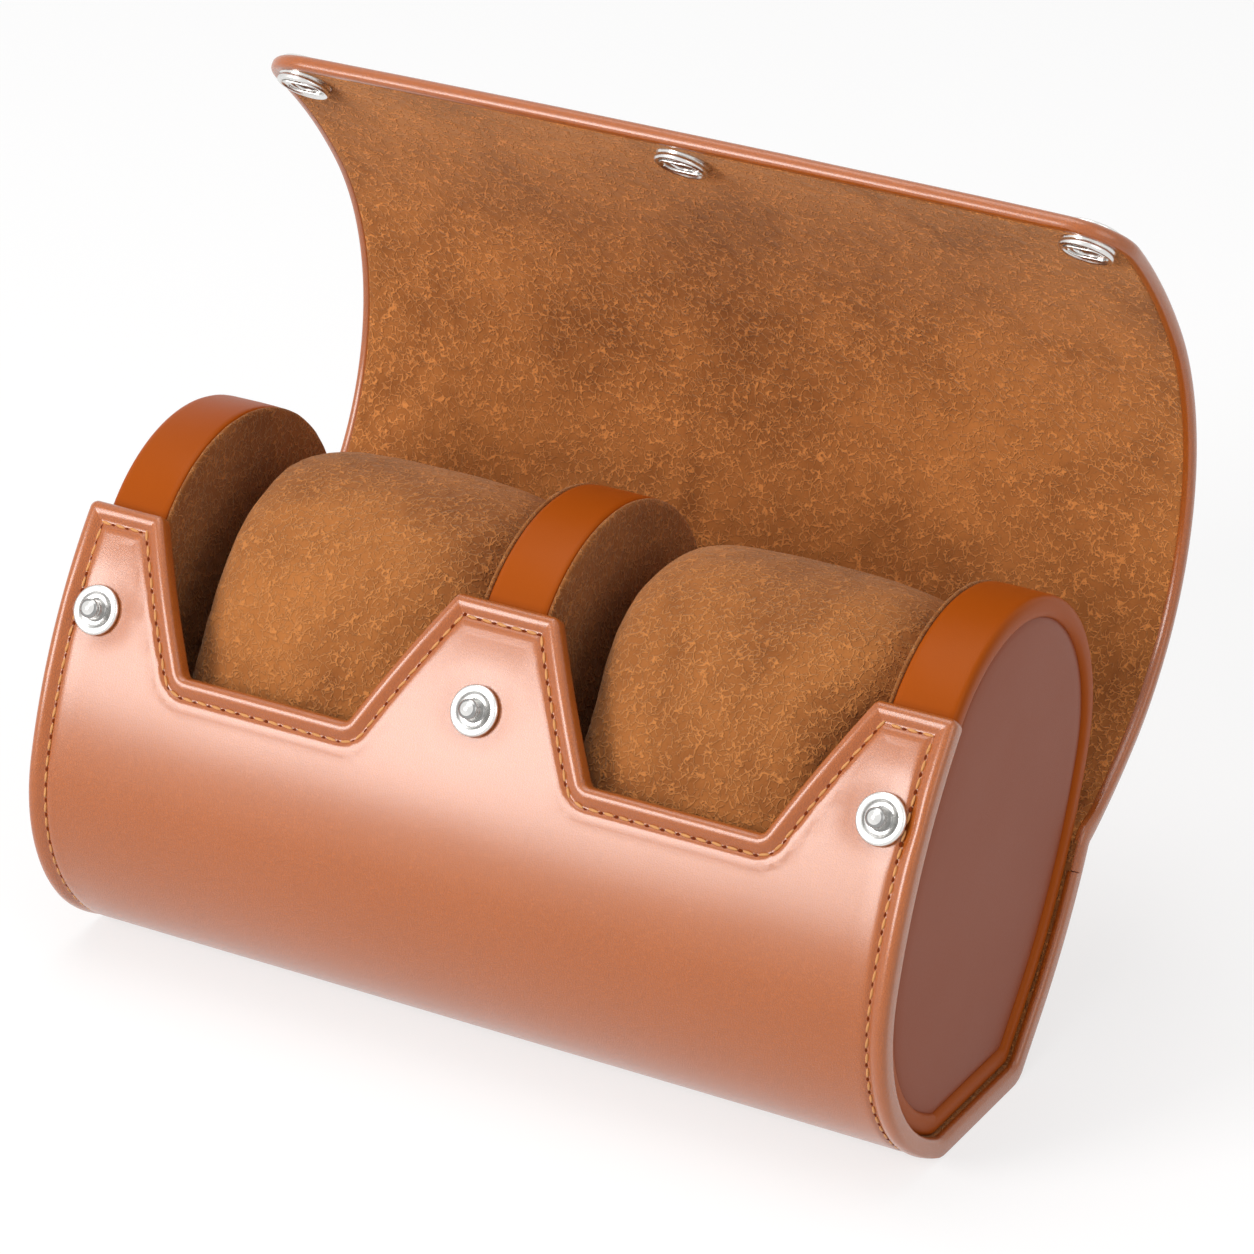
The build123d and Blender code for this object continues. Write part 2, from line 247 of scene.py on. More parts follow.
def add_lower_runs(course, facts, inset):
    """The low end, the flat base and the straight lower back, which both courses share."""
    foot, foot_radius = facts["front_foot"]
    toe_angle = angle_of(foot - facts["low_centre"]) % (2 * math.pi)
    back, back_radius = facts["back_foot"]
    normal, normal_angle, corner = facts["heel"]
    low_start = facts["lean"] + math.pi - facts["join"]
    course.arc(facts["low_centre"], facts["end"], low_start, toe_angle)
    course.arc(foot, foot_radius, toe_angle, 3 * QUARTER)
    course.line(Vector((foot.x, inset)), Vector((back.x, inset)), Vector((0, -1)))
    course.arc(back, back_radius, 3 * QUARTER, normal_angle)
    course.line(back + normal * back_radius, corner, normal)


def closed_course(sizes, inset):
    """The whole oval at a depth under the outer face, from the top end round the front."""
    f = section(sizes, inset)
    lean, join = f["lean"], f["join"]
    course = Course()
    course.arc(f["top_centre"], f["end"], lean - join, lean + join)
    course.arc(f["front_centre"], f["side"], lean + join, lean + math.pi - join)
    add_lower_runs(course, f, inset)
    course.arc(f["back_centre"], f["side"], lean + math.pi + join, lean + 2 * math.pi - join)
    return course


def oval_loop(sizes, inset, x):
    """Points of the closed oval, the same number in the same order at every depth."""
    course = closed_course(sizes, inset)
    points = []
    for (begin, length, _), steps in zip(course.runs, RUN_STEPS):
        for step in range(steps):
            point = course.at(begin + length * (step + 1e-6) / steps)[0]
            points.append(Vector((x, point.x, point.y)))
    return points


def jacket_course(sizes, front):
    """The leather's outer face from the tabs, under the roll, up the back and over the flap."""
    f = section(sizes, 0)
    lean, join, side, back_centre = f["lean"], f["join"], f["side"], f["back_centre"]
    course = Course()
    top_angle = lean + QUARTER - math.asin(front.tab_top / side)
    course.arc(f["front_centre"], side, top_angle, lean + math.pi - join)
    add_lower_runs(course, f, 0)
    fold = flat_point(HINGES[0])
    fold_way = (fold - back_centre).normalized()
    fold_angle = angle_of(fold_way) + 2 * math.pi
    trim = FOLD_BEND * math.tan(OPENING / 2)
    course.arc(back_centre, side, lean + math.pi + join, fold_angle - trim / side)
    centre = course.at(course.length)[0] + fold_way * FOLD_BEND
    course.arc(centre, FOLD_BEND, fold_angle + math.pi, fold_angle + math.pi - OPENING, -1)
    course.fold_at = course.length - FOLD_BEND * OPENING / 2
    add_flap_runs(course, sizes, side, fold, trim)
    return course


def add_flap_runs(course, sizes, side, fold, trim):
    """The open flap: a nearly flat strip, the curl and the tip, each tangent to the last."""
    curl_first, curl_last = flat_point(HINGES[1]), flat_point(HINGES[-1])
    half_chord = (curl_last - curl_first) / 2
    aside = Vector((-half_chord.y, half_chord.x)).normalized()
    depth = math.sqrt(CURL_RADIUS**2 - half_chord.length_squared)
    curl = curl_first + half_chord + aside * depth
    first_way, last_way = (curl_first - curl).normalized(), (curl_last - curl).normalized()
    first, last = angle_of(first_way), angle_of(last_way)
    base_centre = curl_first - first_way * (side - sizes.flap)
    course.arc(base_centre, side, angle_of(fold - base_centre) + trim / side, first)
    curl_start, curl_outer = course.length, CURL_RADIUS + sizes.flap
    course.arc(curl, curl_outer, first, last)
    between = [curl_start + (angle_of(flat_point(hinge) - curl) - first) * curl_outer
               for hinge in HINGES[2:-1]]
    course.hinge_at = [course.fold_at, curl_start] + between + [course.length]
    tip_radius = side + TIP_FLATTER + sizes.flap
    tip_centre = curl_last - last_way * (tip_radius - sizes.flap)
    course.arc(tip_centre, tip_radius, last, last + TIP_SWEEP)


def disc_centres(node):
    """Centres of a node's three discs: left, middle and right."""
    points = [v.co for v in frame["nodes"][node].data.vertices]
    edges = (-math.inf, -HALF / 2, HALF / 2, math.inf)
    centres = []
    for start, end in zip(edges, edges[1:]):
        disc = [p for p in points if start < p.x < end]
        centres.append(Vector([(min(p[k] for p in disc) + max(p[k] for p in disc)) / 2
                               for k in range(3)]))
    return centres


def tab_distance(sizes, front, level):
    """Distance along the course of a level on the front."""
    side = section(sizes, 0)["side"]
    return (math.asin(front.tab_top / side) - math.asin(level / side)) * side


def find_on(course, point, start, end):
    """Distance along the course of the place nearest to a point, between two distances."""
    places = (start + (end - start) * k / FIND_STEPS for k in range(FIND_STEPS + 1))
    return min(places, key=lambda d: (course.at(d)[0] - flat_point(point)).length)


def full_course(sizes, front):
    """The jacket's course with the places of the studs and sockets on it."""
    course = jacket_course(sizes, front)
    course.stud_at = tab_distance(sizes, front, front.stud_level)
    cap = disc_centres("snap_caps")[1]
    course.stud_at_flap = find_on(course, cap, course.hinge_at[-1], course.length)
    return course


def stud_places(front):
    """The three places of the studs and sockets along the roll."""
    return -front.stud_reach, 0.0, front.stud_reach


def settings(context):
    """The sizes and the finishes set in the scene."""
    scene = context.scene
    return scene.roll_sizes, scene.front_sizes, scene.inside_sizes, scene.roll_finish


# Meshes

SHARP_ANGLE = math.radians(55)
MERGE = 1e-6
SMALLEST_CORNER = 0.25 * MM


def finish_piece(context, name, bm, materials, smooth=True, outward=True):
    """Makes a mesh object at the origin from a finished bmesh."""
    if outward:
        bmesh.ops.recalc_face_normals(bm, faces=bm.faces)
    mesh = bpy.data.meshes.new(name)
    bm.to_mesh(mesh)
    bm.free()
    piece = bpy.data.objects.new(name, mesh)
    context.scene.collection.objects.link(piece)
    for material in materials:
        mesh.materials.append(material)
    mesh.polygons.foreach_set("use_smooth", [smooth] * len(mesh.polygons))
    if smooth:
        mesh.set_sharp_from_angle(angle=SHARP_ANGLE)
    mesh.update()
    return piece


def dress(nodes):
    """Hides the CAD nodes that a piece stands for."""
    if nodes:
        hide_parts(*nodes)


def place(piece, body, slot, *nodes):
    """Puts a piece on its body."""
    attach(piece, body)
    dress(nodes)


def extrude_rows(bm, rows, closed):
    """Skin over rows of points: the first is drawn, and each next one is extruded from it."""
    def pairs(verts):
        return zip(verts, verts[1:] + verts[:1] if closed else verts[1:])

    verts = [bm.verts.new(point) for point in rows[0]]
    edges = [bm.edges.new(pair) for pair in pairs(verts)]
    ladder = [verts]
    for row in rows[1:]:
        made = bmesh.ops.extrude_edge_only(bm, edges=edges)["geom"]
        fresh = {v for v in made if isinstance(v, bmesh.types.BMVert)}
        verts = [next(e.other_vert(v) for e in v.link_edges if e.other_vert(v) in fresh)
                 for v in verts]
        for vert, point in zip(verts, row):
            vert.co = point
        edges = [bm.edges.get(pair) for pair in pairs(verts)]
        ladder.append(verts)
    return ladder


def oval_form(sizes, profile):
    """Capped form swept round the oval from places along X and depths."""
    bm = bmesh.new()
    ladder = extrude_rows(bm, [oval_loop(sizes, inset, x) for x, inset in profile], True)
    bm.faces.new(ladder[0])
    bm.faces.new(ladder[-1])
    return bm


def oval_ring(sizes, profile):
    """Closed ring swept round the oval from places along X and depths."""
    bm = bmesh.new()
    rows = [oval_loop(sizes, inset, x) for x, inset in profile]
    ladder = extrude_rows(bm, rows + [rows[0]], True)
    bmesh.ops.remove_doubles(bm, verts=ladder[0] + ladder[-1], dist=MERGE)
    return bm


def left_of(way):
    """A flat direction turned a quarter to the left."""
    return Vector((-way.y, way.x))


def turn_between(one, two):
    """Above 0 where the second of two flat directions turns left."""
    return one.x * two.y - one.y * two.x


def pushed_corner(before, corner, after, push):
    """The corner of two edges that both moved inwards."""
    one, two = (corner - before).normalized(), (after - corner).normalized()
    a, b = corner + left_of(one) * push, corner + left_of(two) * push
    turn = turn_between(one, two)
    return a if abs(turn) < 1e-9 else a + one * (turn_between(b - a, two) / turn)


def round_corner(before, corner, after, radius, push, bends):
    """Points of an outline's corner, rounded so that every push keeps the same centre."""
    one, two = (corner - before).normalized(), (after - corner).normalized()
    way = 1 if turn_between(one, two) > 0 else -1
    radius = max(radius - push, SMALLEST_CORNER) if way > 0 else radius + push
    half_turn = math.acos(max(-1, min(1, one.dot(two)))) / 2
    start = corner - one * (radius * math.tan(half_turn))
    centre = start + left_of(one) * radius * way
    first = angle_of(start - centre)
    return [centre + direction(first + 2 * half_turn * way * i / bends) * radius
            for i in range(bends + 1)]


def edge_path(corners, radii, push, bends):
    """Open outline moved inwards, with round corners: always the same number of points."""
    start_way = (corners[1] - corners[0]).normalized()
    end_way = (corners[-1] - corners[-2]).normalized()
    moved = [corners[0] + left_of(start_way) * push]
    moved += [pushed_corner(*corners[k - 1:k + 2], push) for k in range(1, len(corners) - 1)]
    moved.append(corners[-1] + left_of(end_way) * push)
    path = [moved[0]]
    for k in range(1, len(moved) - 1):
        path += round_corner(*moved[k - 1:k + 2], radii[k], push, bends[k])
    return path + [moved[-1]]


# Finishes

WARP_SCALE = 900.0                   # scale of the noise that curls cells and fibres
PATTERN_SHIFT = (3.7, 1.9, 5.3)      # moves the suede's second set of fibres off the first
WARM_GLOSS = (1.0, 0.62, 0.25, 1.0)  # the leather's own gloss, under its clear coat


def add(tree, kind, inputs=None, **options):
    """A node with its options, and with links or constant values on its inputs."""
    node = tree.nodes.new(kind)
    for key, value in options.items():
        setattr(node, key, value)
    for key, value in (inputs or {}).items():
        if isinstance(value, bpy.types.NodeSocket):
            tree.links.new(value, node.inputs[key])
        else:
            node.inputs[key].default_value = value
    return node


def maths(tree, operation, *inputs):
    """A Math node fed with links or numbers."""
    return add(tree, "ShaderNodeMath", dict(enumerate(inputs)), operation=operation).outputs[0]


def times(tree, value, factor):
    """A value multiplied by a factor."""
    return maths(tree, "MULTIPLY", value, factor)


def noisy(tree, vector, scale, detail, **more):
    """A Noise Texture; more are its other inputs by name."""
    inputs = {"Vector": vector, "Scale": scale, "Detail": detail, **more}
    return add(tree, "ShaderNodeTexNoise", inputs).outputs


def spread(tree, value, low, high, kind="LINEAR", **more):
    """Brings the part of a value's range from low to high to the range from 0 to 1."""
    inputs = {"Value": value, "From Min": low, "From Max": high, **more}
    return add(tree, "ShaderNodeMapRange", inputs, interpolation_type=kind).outputs[0]


def warped_cells(tree, vector, scale, detail, push, randomness):
    """Distance to the edges of cells whose edges curl, and the curled coordinates."""
    stir = noisy(tree, vector, WARP_SCALE, detail)["Color"]
    moved = add(tree, "ShaderNodeVectorMath", {0: stir, "Scale": push}, operation="SCALE")
    curled = add(tree, "ShaderNodeVectorMath", {0: vector, 1: moved.outputs[0]}, operation="ADD")
    inputs = {"Vector": curled.outputs[0], "Scale": scale, "Randomness": randomness}
    cells = add(tree, "ShaderNodeTexVoronoi", inputs, feature="DISTANCE_TO_EDGE")
    return cells.outputs["Distance"], curled.outputs[0]


def shared_group(name, scale, colours, strength, build):
    """A node group made once: build gives the two colours, their mask, height and roughness."""
    if name in bpy.data.node_groups:
        return bpy.data.node_groups[name]
    tree = bpy.data.node_groups.new(name, "ShaderNodeTree")
    sockets = [("Vector", "Vector", None), ("Scale", "Float", scale)]
    sockets += [(label, "Color", None) for label in colours] + strength
    for label, kind, value in sockets:
        kind = "NodeSocket" + kind
        socket = tree.interface.new_socket(label, in_out="INPUT", socket_type=kind)
        if value is not None:
            socket.default_value = value
    results = (("Color", "Color"), ("Height", "Float"), ("Roughness", "Float"))
    for label, kind in results:
        tree.interface.new_socket(label, in_out="OUTPUT", socket_type="NodeSocket" + kind)
    given = tree.nodes.new("NodeGroupInput").outputs
    pair, mask, height, rough = build(tree, given)
    inputs = {0: mask, 6: given[pair[0]], 7: given[pair[1]]}
    mix = add(tree, "ShaderNodeMix", inputs, data_type="RGBA")
    add(tree, "NodeGroupOutput", {"Color": mix.outputs[2], "Height": height, "Roughness": rough})
    return tree


def leather_grain():
    """Fine cells and creases of leather, with slow changes of shade."""
    def build(tree, given):
        vector = given["Vector"]
        edges, _ = warped_cells(tree, vector, given["Scale"], 2.0, 0.0009, 0.95)
        crease = spread(tree, edges, 0.0, 0.16, "SMOOTHSTEP")
        fine = noisy(tree, vector, 5200.0, 4.0)["Fac"]
        cloud = spread(tree, noisy(tree, vector, 38.0, 3.0)["Fac"], 0.32, 0.68)
        height = maths(tree, "ADD", times(tree, crease, 0.75), times(tree, fine, 0.45))
        pale = maths(tree, "ADD", times(tree, crease, 0.45), times(tree, cloud, 0.55))
        mask = times(tree, maths(tree, "SUBTRACT", 1.0, pale), given["Contrast"])
        uneven = maths(tree, "SUBTRACT", fine, times(tree, cloud, 0.25))
        rough = maths(tree, "ADD", 0.37, times(tree, uneven, 0.16))
        return ("Light", "Dark"), mask, height, rough

    strength = [("Contrast", "Float", 0.25)]
    return shared_group("leather_grain", 1400.0, ("Light", "Dark"), strength, build)


def suede_nap():
    """Short curly fibres painted lighter over hollows painted darker, as painted light and shade;
    brushed lighter and darker.
    """
    def fibres_at(tree, given, shift):
        inputs = {0: given["Vector"], 1: shift}
        vector = add(tree, "ShaderNodeVectorMath", inputs, operation="ADD").outputs[0]
        edges, curled = warped_cells(tree, vector, given["Scale"], 1.0, 0.0011, 1.0)
        thin = spread(tree, edges, 0.025, 0.1, "SMOOTHSTEP", **{"To Min": 1.0, "To Max": 0.0})
        kept = spread(tree, noisy(tree, curled, 760.0, 0.0)["Fac"], 0.42, 0.52)
        return times(tree, thin, kept)

    def build(tree, given):
        vector = given["Vector"]
        first, second = (fibres_at(tree, given, shift) for shift in ((0, 0, 0), PATTERN_SHIFT))
        fibres = maths(tree, "MAXIMUM", first, times(tree, second, 0.8))
        tuft = spread(tree, noisy(tree, vector, 260.0, 3.0)["Fac"], 0.3, 0.7)
        cloud = spread(tree, noisy(tree, vector, 34.0, 4.0, Distortion=0.6)["Fac"], 0.3, 0.7)
        brushed = times(tree, maths(tree, "SUBTRACT", cloud, 0.5), given["Brushing"])
        # Raised fibres and tufts are painted lighter and the hollows darker: painted light and
        # shade that follow the height.
        base = maths(tree, "ADD", times(tree, fibres, 0.58), times(tree, tuft, 0.16))
        mask = maths(tree, "ADD", maths(tree, "ADD", base, brushed), 0.34)
        height = maths(tree, "ADD", fibres, times(tree, tuft, 0.8))
        rough = maths(tree, "SUBTRACT", 0.97, times(tree, fibres, 0.14))
        return ("Dark", "Light"), mask, height, rough

    strength = [("Brushing", "Float", 0.5)]
    return shared_group("suede_nap", 600.0, ("Light", "Dark"), strength, build)


def brushed_wear():
    """Fine scratches and smudges of plated metal."""
    def build(tree, given):
        vector = given["Vector"]
        speck = noisy(tree, vector, given["Scale"], 5.0, Distortion=0.4)["Fac"]
        mask = times(tree, speck, noisy(tree, vector, 320.0, 2.0)["Fac"])
        rough = maths(tree, "ADD", 0.19, times(tree, mask, 0.3))
        return ("Bright", "Dull"), mask, speck, rough

    return shared_group("brushed_wear", 900.0, ("Bright", "Dull"), [], build)


def opaque(colour):
    """A colour with full opacity."""
    return (*colour[:3], 1.0)


def surface(name, group, values, constants, bump, depth):
    """A Principled material fed by one of the groups through Object coordinates."""
    if name in bpy.data.materials:
        return bpy.data.materials[name]
    material = bpy.data.materials.new(name)
    material.use_nodes = True
    tree = material.node_tree
    shader = tree.nodes["Principled BSDF"]
    for key, value in constants.items():
        shader.inputs[key].default_value = value
    spot = add(tree, "ShaderNodeTexCoord").outputs["Object"]
    detail = add(tree, "ShaderNodeGroup", {"Vector": spot, **values}, node_tree=group).outputs
    inputs = {"Height": detail["Height"], "Strength": bump, "Distance": depth}
    raised = add(tree, "ShaderNodeBump", inputs)
    tree.links.new(detail["Color"], shader.inputs["Base Color"])
    tree.links.new(detail["Roughness"], shader.inputs["Roughness"])
    tree.links.new(raised.outputs["Normal"], shader.inputs["Normal"])
    return material


def leather_finish(finish, name, light, scale=1900.0, coat=0.4, contrast=0.16, bump=0.8, shine=0.5):
    """Satin leather with fine grain."""
    dark = [min(1, 0.5 * c + 0.25 * d) for c, d in zip(light, finish.leather_dark)]
    values = {"Light": opaque(light), "Dark": opaque(dark), "Scale": scale, "Contrast": contrast}
    constants = {
        "Coat Weight": coat, "Coat Roughness": 0.26, "Coat IOR": 1.62, "IOR": 1.45,
        "Specular IOR Level": shine, "Specular Tint": WARM_GLOSS,
    }
    return surface(name, leather_grain(), values, constants, bump, 0.00012)


def wrap_leather_finish(finish):
    """The smooth coated leather of the wrap and the flap."""
    return leather_finish(finish, "wrap_leather_tan", finish.leather, coat=1.0)


def stitch_finishes(finish):
    """The thread, and the dark blobs of painted shade that stand for the needle holes between the
    stitches.
    """
    thread = leather_finish(finish, "stitching_thread", finish.thread, scale=5200.0, coat=0.0,
                            contrast=0.45, bump=0.4)
    # Painted shade: the needle holes' colour is the leather's dark colour made darker still.
    dark = [0.7 * c for c in finish.leather_dark]
    hole_shade = leather_finish(finish, "needle_hole_shade", dark, scale=2600.0, coat=0.0, contrast=0.3,
                           bump=0.3, shine=0.05)
    return [thread, hole_shade]


def suede_finish(finish, name, brushing=0.5, light=1.0):
    """Brushed suede with a soft sheen; light scales its colour, so that copies of one suede are
    painted lighter or darker as painted light and shade.
    """
    # Painted light and shade: the suede's colour times this piece's factor.
    tone = [c * light for c in finish.suede]
    values = {"Light": opaque(tone), "Dark": opaque(finish.suede_hollow_shade), "Brushing": brushing}
    constants = {
        "Sheen Weight": 0.25, "Sheen Roughness": 0.5, "Sheen Tint": (1.0, 0.75, 0.5, 1.0),
        "Specular IOR Level": 0.15,
    }
    return surface(name, suede_nap(), values, constants, 0.75, 0.0005)


def nickel_finish(finish, name="nickel_plate", tone=1.0):
    """Bright plated nickel."""
    # A tone below 1 darkens the nickel: painted shade on the studs' posts.
    bright = [c * tone for c in finish.nickel]
    values = {"Bright": opaque(bright), "Dull": opaque([0.72 * c for c in bright])}
    return surface(name, brushed_wear(), values, {"Metallic": 1.0}, 0.02, 0.00005)


# Leather that follows the jacket's course

FINE = 0.05 * MM            # first and last step of a strip, at its seams
UNDER_LEATHER = -0.6 * MM   # heights over this belong to the leather's outer face
SEAM_BEFORE_FOLD = 6 * MM   # how far under the fold the wrap's leather ends
FOLD_TAPER = 6 * MM         # length in which the wrap's thickness runs out into the flap's
THICKNESS_GAP = 0.05 * MM   # the flap starts this much thinner than the wrap
SOCKET_TO_EDGE = 7.3 * MM   # from the sockets to the free edge at the flap's corners
EDGE_BOW = 2 * MM           # how far the free edge bows out at its middle
BOW_CORNERS = 7
FLAP_CORNER = 11 * MM
BOW_CORNER = 60 * MM        # radius that smooths the bowed edge's shallow corners
CALM_EDGE = 3 * MM          # the leather's ripples run out in this distance from its ends
PUCKER, PUCKER_REACH = 0.38 * MM, 2.4 * MM
FLAT_UNDER, FOOT_EASE = 0.97, 0.35   # how flat the base is where the rim's rise is gone

# Heights over the leather beside a turned rim, as shares of the rim's width and of its rise
RIM_GROOVE = (
    (0.42, 0.99), (0.52, 0.88), (0.63, 0.58), (0.74, 0.12), (0.84, -0.42), (0.93, -0.78),
    (1.02, -0.82), (1.09, -0.5), (1.17, -0.08), (1.30, 0.10), (1.5, 0.12), (1.8, 0.0),
)

THREAD_WIDTH, THREAD_HEIGHT = 0.56 * MM, 0.42 * MM
# A dark blob of painted shade stands for each needle hole.
HOLE_SHADE_SIZE = (1.0 * MM, 0.7 * MM, 0.3 * MM)
HOLE_SHADE_SINK = 0.07 * MM
THREAD_LIFT = 0.10 * MM     # middle of a stitch over the leather
STITCH_SINK = 0.8           # depth of the stitches' groove, as a share of the rim's rise
SLANT, SLANT_CHANGE = 0.10, 0.12


def limited(value):
    """A value kept between 0 and 1."""
    return min(1.0, max(0.0, value))


def ripple(x, distance):
    """The leather's slow unevenness."""
    spot = Vector((x * 22, distance * 22, 0.4))
    return (noise.noise(spot) * 0.11 + noise.noise(spot * 3.1) * 0.035) * MM


def pucker(front, x, distance, stud_at):
    """How far the leather is drawn in round the press studs or the caps."""
    drop = 0.0
    for stud in stud_places(front):
        away = max(0.0, math.hypot(x - stud, distance - stud_at) - front.stud * 0.9)
        drop += PUCKER * math.exp(-((away / PUCKER_REACH) ** 2))
    return drop


def rim_profile(sizes, thickness, turn_in):
    """Distances from the edge and heights, from under the leather round its edge to the top."""
    rise, width = sizes.rim_rise, sizes.rim_width
    top = min(1.35 * MM, thickness / 2 + rise / 2)
    low = min(1.0 * MM, thickness / 2 - rise / 3)
    points = [(turn_in + 0.02 * MM, -sizes.leather), (turn_in, -thickness + 0.25 * MM),
              (turn_in - 0.25 * MM, -thickness)]
    for k in range(5):
        way = direction(math.radians(-90 - 22.5 * k))
        points.append((low * (1 + way.x), -thickness + low * (1 + way.y)))
    for k in range(6):
        way = direction(math.radians(180 - 18 * k))
        points.append((top * (1 + way.x), rise - top * (1 - way.y)))
    return points + [(a * width, b * rise) for a, b in RIM_GROOVE]


def cut_through(bm, axis, places, faces=None):
    """Cuts the flat leather across, half by half, so that it can follow the roll."""
    if not places:
        return
    faces = faces if faces is not None else list(bm.faces)
    middle = len(places) // 2
    normal = Vector([1.0 if k == axis else 0.0 for k in range(3)])
    around = dict.fromkeys(e for f in faces for e in f.edges)
    around.update(dict.fromkeys(v for f in faces for v in f.verts))
    cut = bmesh.ops.bisect_plane(
        bm, geom=faces + list(around), dist=MERGE, plane_co=normal * places[middle],
        plane_no=normal,
    )["geom"]
    now = [g for g in cut if isinstance(g, bmesh.types.BMFace)]
    below = [f for f in now if f.calc_center_bounds()[axis] < places[middle]]
    above = [f for f in now if f.calc_center_bounds()[axis] >= places[middle]]
    cut_through(bm, axis, places[:middle], below)
    cut_through(bm, axis, places[middle + 1:], above)


def spaced(start, end, step, fine=FINE):
    """Places from one end to the other, with a close one at each end."""
    low, high = start + 4 * fine, end - 4 * fine
    count = max(1, round((high - low) / step))
    between = [low + (high - low) * k / count for k in range(count + 1)]
    return [start + fine] + between + [end - fine]


def across_roll(inset, step):
    """Places along the whole roll, short of its ends."""
    return spaced(-HALF + inset, HALF - inset, step, 1 * MM)


def flat_leather(corners, radii, bends, profile):
    """Flat leather with a turned rim along an open outline; its seam closes it."""
    bm = bmesh.new()
    rows = [[Vector((p.x, p.y, height)) for p in edge_path(corners, radii, push, bends)]
            for push, height in profile]
    ladder = extrude_rows(bm, rows, False)
    bm.faces.new(reversed(ladder[0]))
    bm.faces.new(ladder[-1])
    bm.faces.new([row[0] for row in ladder] + [row[-1] for row in reversed(ladder)])
    return bm


def strip_leather(low, high, profile, places, across=4 * MM):
    """Flat strip between two seams, with its edge's profile along both sides."""
    (under_push, under), (top_push, top) = profile[0], profile[-1]
    outline = [(-HALF + push, height) for push, height in profile]
    outline += [(x, top) for x in across_roll(top_push, across)]
    outline += [(HALF - push, height) for push, height in reversed(profile)]
    outline += [(x, under) for x in reversed(across_roll(under_push, 4 * across))]
    stations = [low] + [p for p in places if low < p < high] + [high]
    bm = bmesh.new()
    rows = [[Vector((x, at, height)) for x, height in outline] for at in stations]
    ladder = extrude_rows(bm, rows, True)
    bm.faces.new(ladder[0])
    bm.faces.new(ladder[-1])
    return bm


def stitch_marks(path, pitch):
    """Middle and heading of each stitch along a path of flat points."""
    lengths = [(b - a).length for a, b in zip(path, path[1:])]
    total = sum(lengths)
    count = max(1, round(total / pitch))
    marks, walked, k = [], 0.0, 0
    for n in range(count):
        target = total * (n + 0.5) / count
        while k < len(lengths) - 1 and walked + lengths[k] < target:
            walked += lengths[k]
            k += 1
        share = (target - walked) / lengths[k]
        way = (path[k + 1] - path[k]).normalized()
        marks.append((path[k].lerp(path[k + 1], share), way))
    return marks


def stitch_pattern(front):
    """One stitch: a grain of thread, and a dark blob of painted shade where the thread goes under.
    """
    bm = bmesh.new()
    ball = {"u_segments": 8, "radius": 0.5}
    thread = bmesh.ops.create_uvsphere(bm, v_segments=6, **ball)["verts"]
    bmesh.ops.rotate(bm, matrix=Matrix.Rotation(QUARTER, 3, "Y"), verts=thread)
    bmesh.ops.scale(bm, vec=(front.stitch, THREAD_WIDTH, THREAD_HEIGHT), verts=thread)
    hole_shade_verts = bmesh.ops.create_uvsphere(bm, v_segments=5, **ball)["verts"]
    bmesh.ops.scale(bm, vec=HOLE_SHADE_SIZE, verts=hole_shade_verts)
    bmesh.ops.translate(bm, vec=(front.stitch_pitch / 2, 0, -HOLE_SHADE_SINK), verts=hole_shade_verts)
    # The blob takes the dark painted-shade material.
    for face in {f for v in hole_shade_verts for f in v.link_faces}:
        face.material_index = 1
    pattern = bpy.data.meshes.new("stitch_pattern")
    bm.to_mesh(pattern)
    bm.free()
    return pattern


def sew(bm, path, sizes, front):
    """Stitches in the flat along a path, each one a little aslant."""
    pattern = stitch_pattern(front)
    level = THREAD_LIFT - sizes.rim_rise * STITCH_SINK
    for number, (spot, way) in enumerate(stitch_marks(path, front.stitch_pitch)):
        change = noise.noise(Vector((number * 0.7, spot.x * 40, 0)))
        turn = Matrix.Rotation(angle_of(way) + change * SLANT_CHANGE + SLANT, 4, "Z")
        there = Matrix.Translation((spot.x, spot.y, level)) @ turn
        pattern.transform(there)
        bm.from_mesh(pattern)
        pattern.transform(there.inverted())
    bpy.data.meshes.remove(pattern)


def lay_on(bm, course, lift=None):
    """Brings flat geometry to the roll; lift changes a height by its place."""
    for vert in bm.verts:
        x, distance, height = vert.co
        if lift:
            height = lift(x, distance, height)
        point, normal = course.at(distance)
        spot = point + normal * height
        vert.co = (x, spot.x, spot.y)


def wrap_outline(sizes, front, seam):
    """Corners of the wrap's flat leather from its seam round the three tabs, and their radii."""
    top = tab_distance(sizes, front, front.tab_top)
    low = tab_distance(sizes, front, front.valley)
    right = [(HALF, seam), (HALF, top), (front.end_tab, top), (front.valley_outer, low),
             (front.valley_inner, low), (front.middle_tab, top)]
    corners = [Vector((-x, s)) for x, s in right] + [Vector(p) for p in reversed(right)]
    radii = [0] + [front.corner] * (len(corners) - 2) + [0]
    return corners, radii, [5] * len(corners)


def seam_places(course):
    """Distances of the seams in the leather: before the fold and halfway down each strip."""
    marks = course.hinge_at
    return [marks[0] - SEAM_BEFORE_FOLD] + [(a + b) / 2 for a, b in zip(marks, marks[1:])]


def flap_outline(course, seam):
    """Corners of the flap's free end: straight sides, round corners and a bowed free edge."""
    edge = course.stud_at_flap + SOCKET_TO_EDGE
    bowed = [HALF * (1 - 2 * k / (BOW_CORNERS + 1)) for k in range(1, BOW_CORNERS + 1)]
    corners = [Vector((HALF, seam)), Vector((HALF, edge))]
    corners += [Vector((x, edge + EDGE_BOW * (1 - (x / HALF) ** 2))) for x in bowed]
    corners += [Vector((-HALF, edge)), Vector((-HALF, seam))]
    radii = [0, FLAP_CORNER] + [BOW_CORNER] * BOW_CORNERS + [FLAP_CORNER, 0]
    return corners, radii, [0, 12] + [2] * BOW_CORNERS + [12, 0]


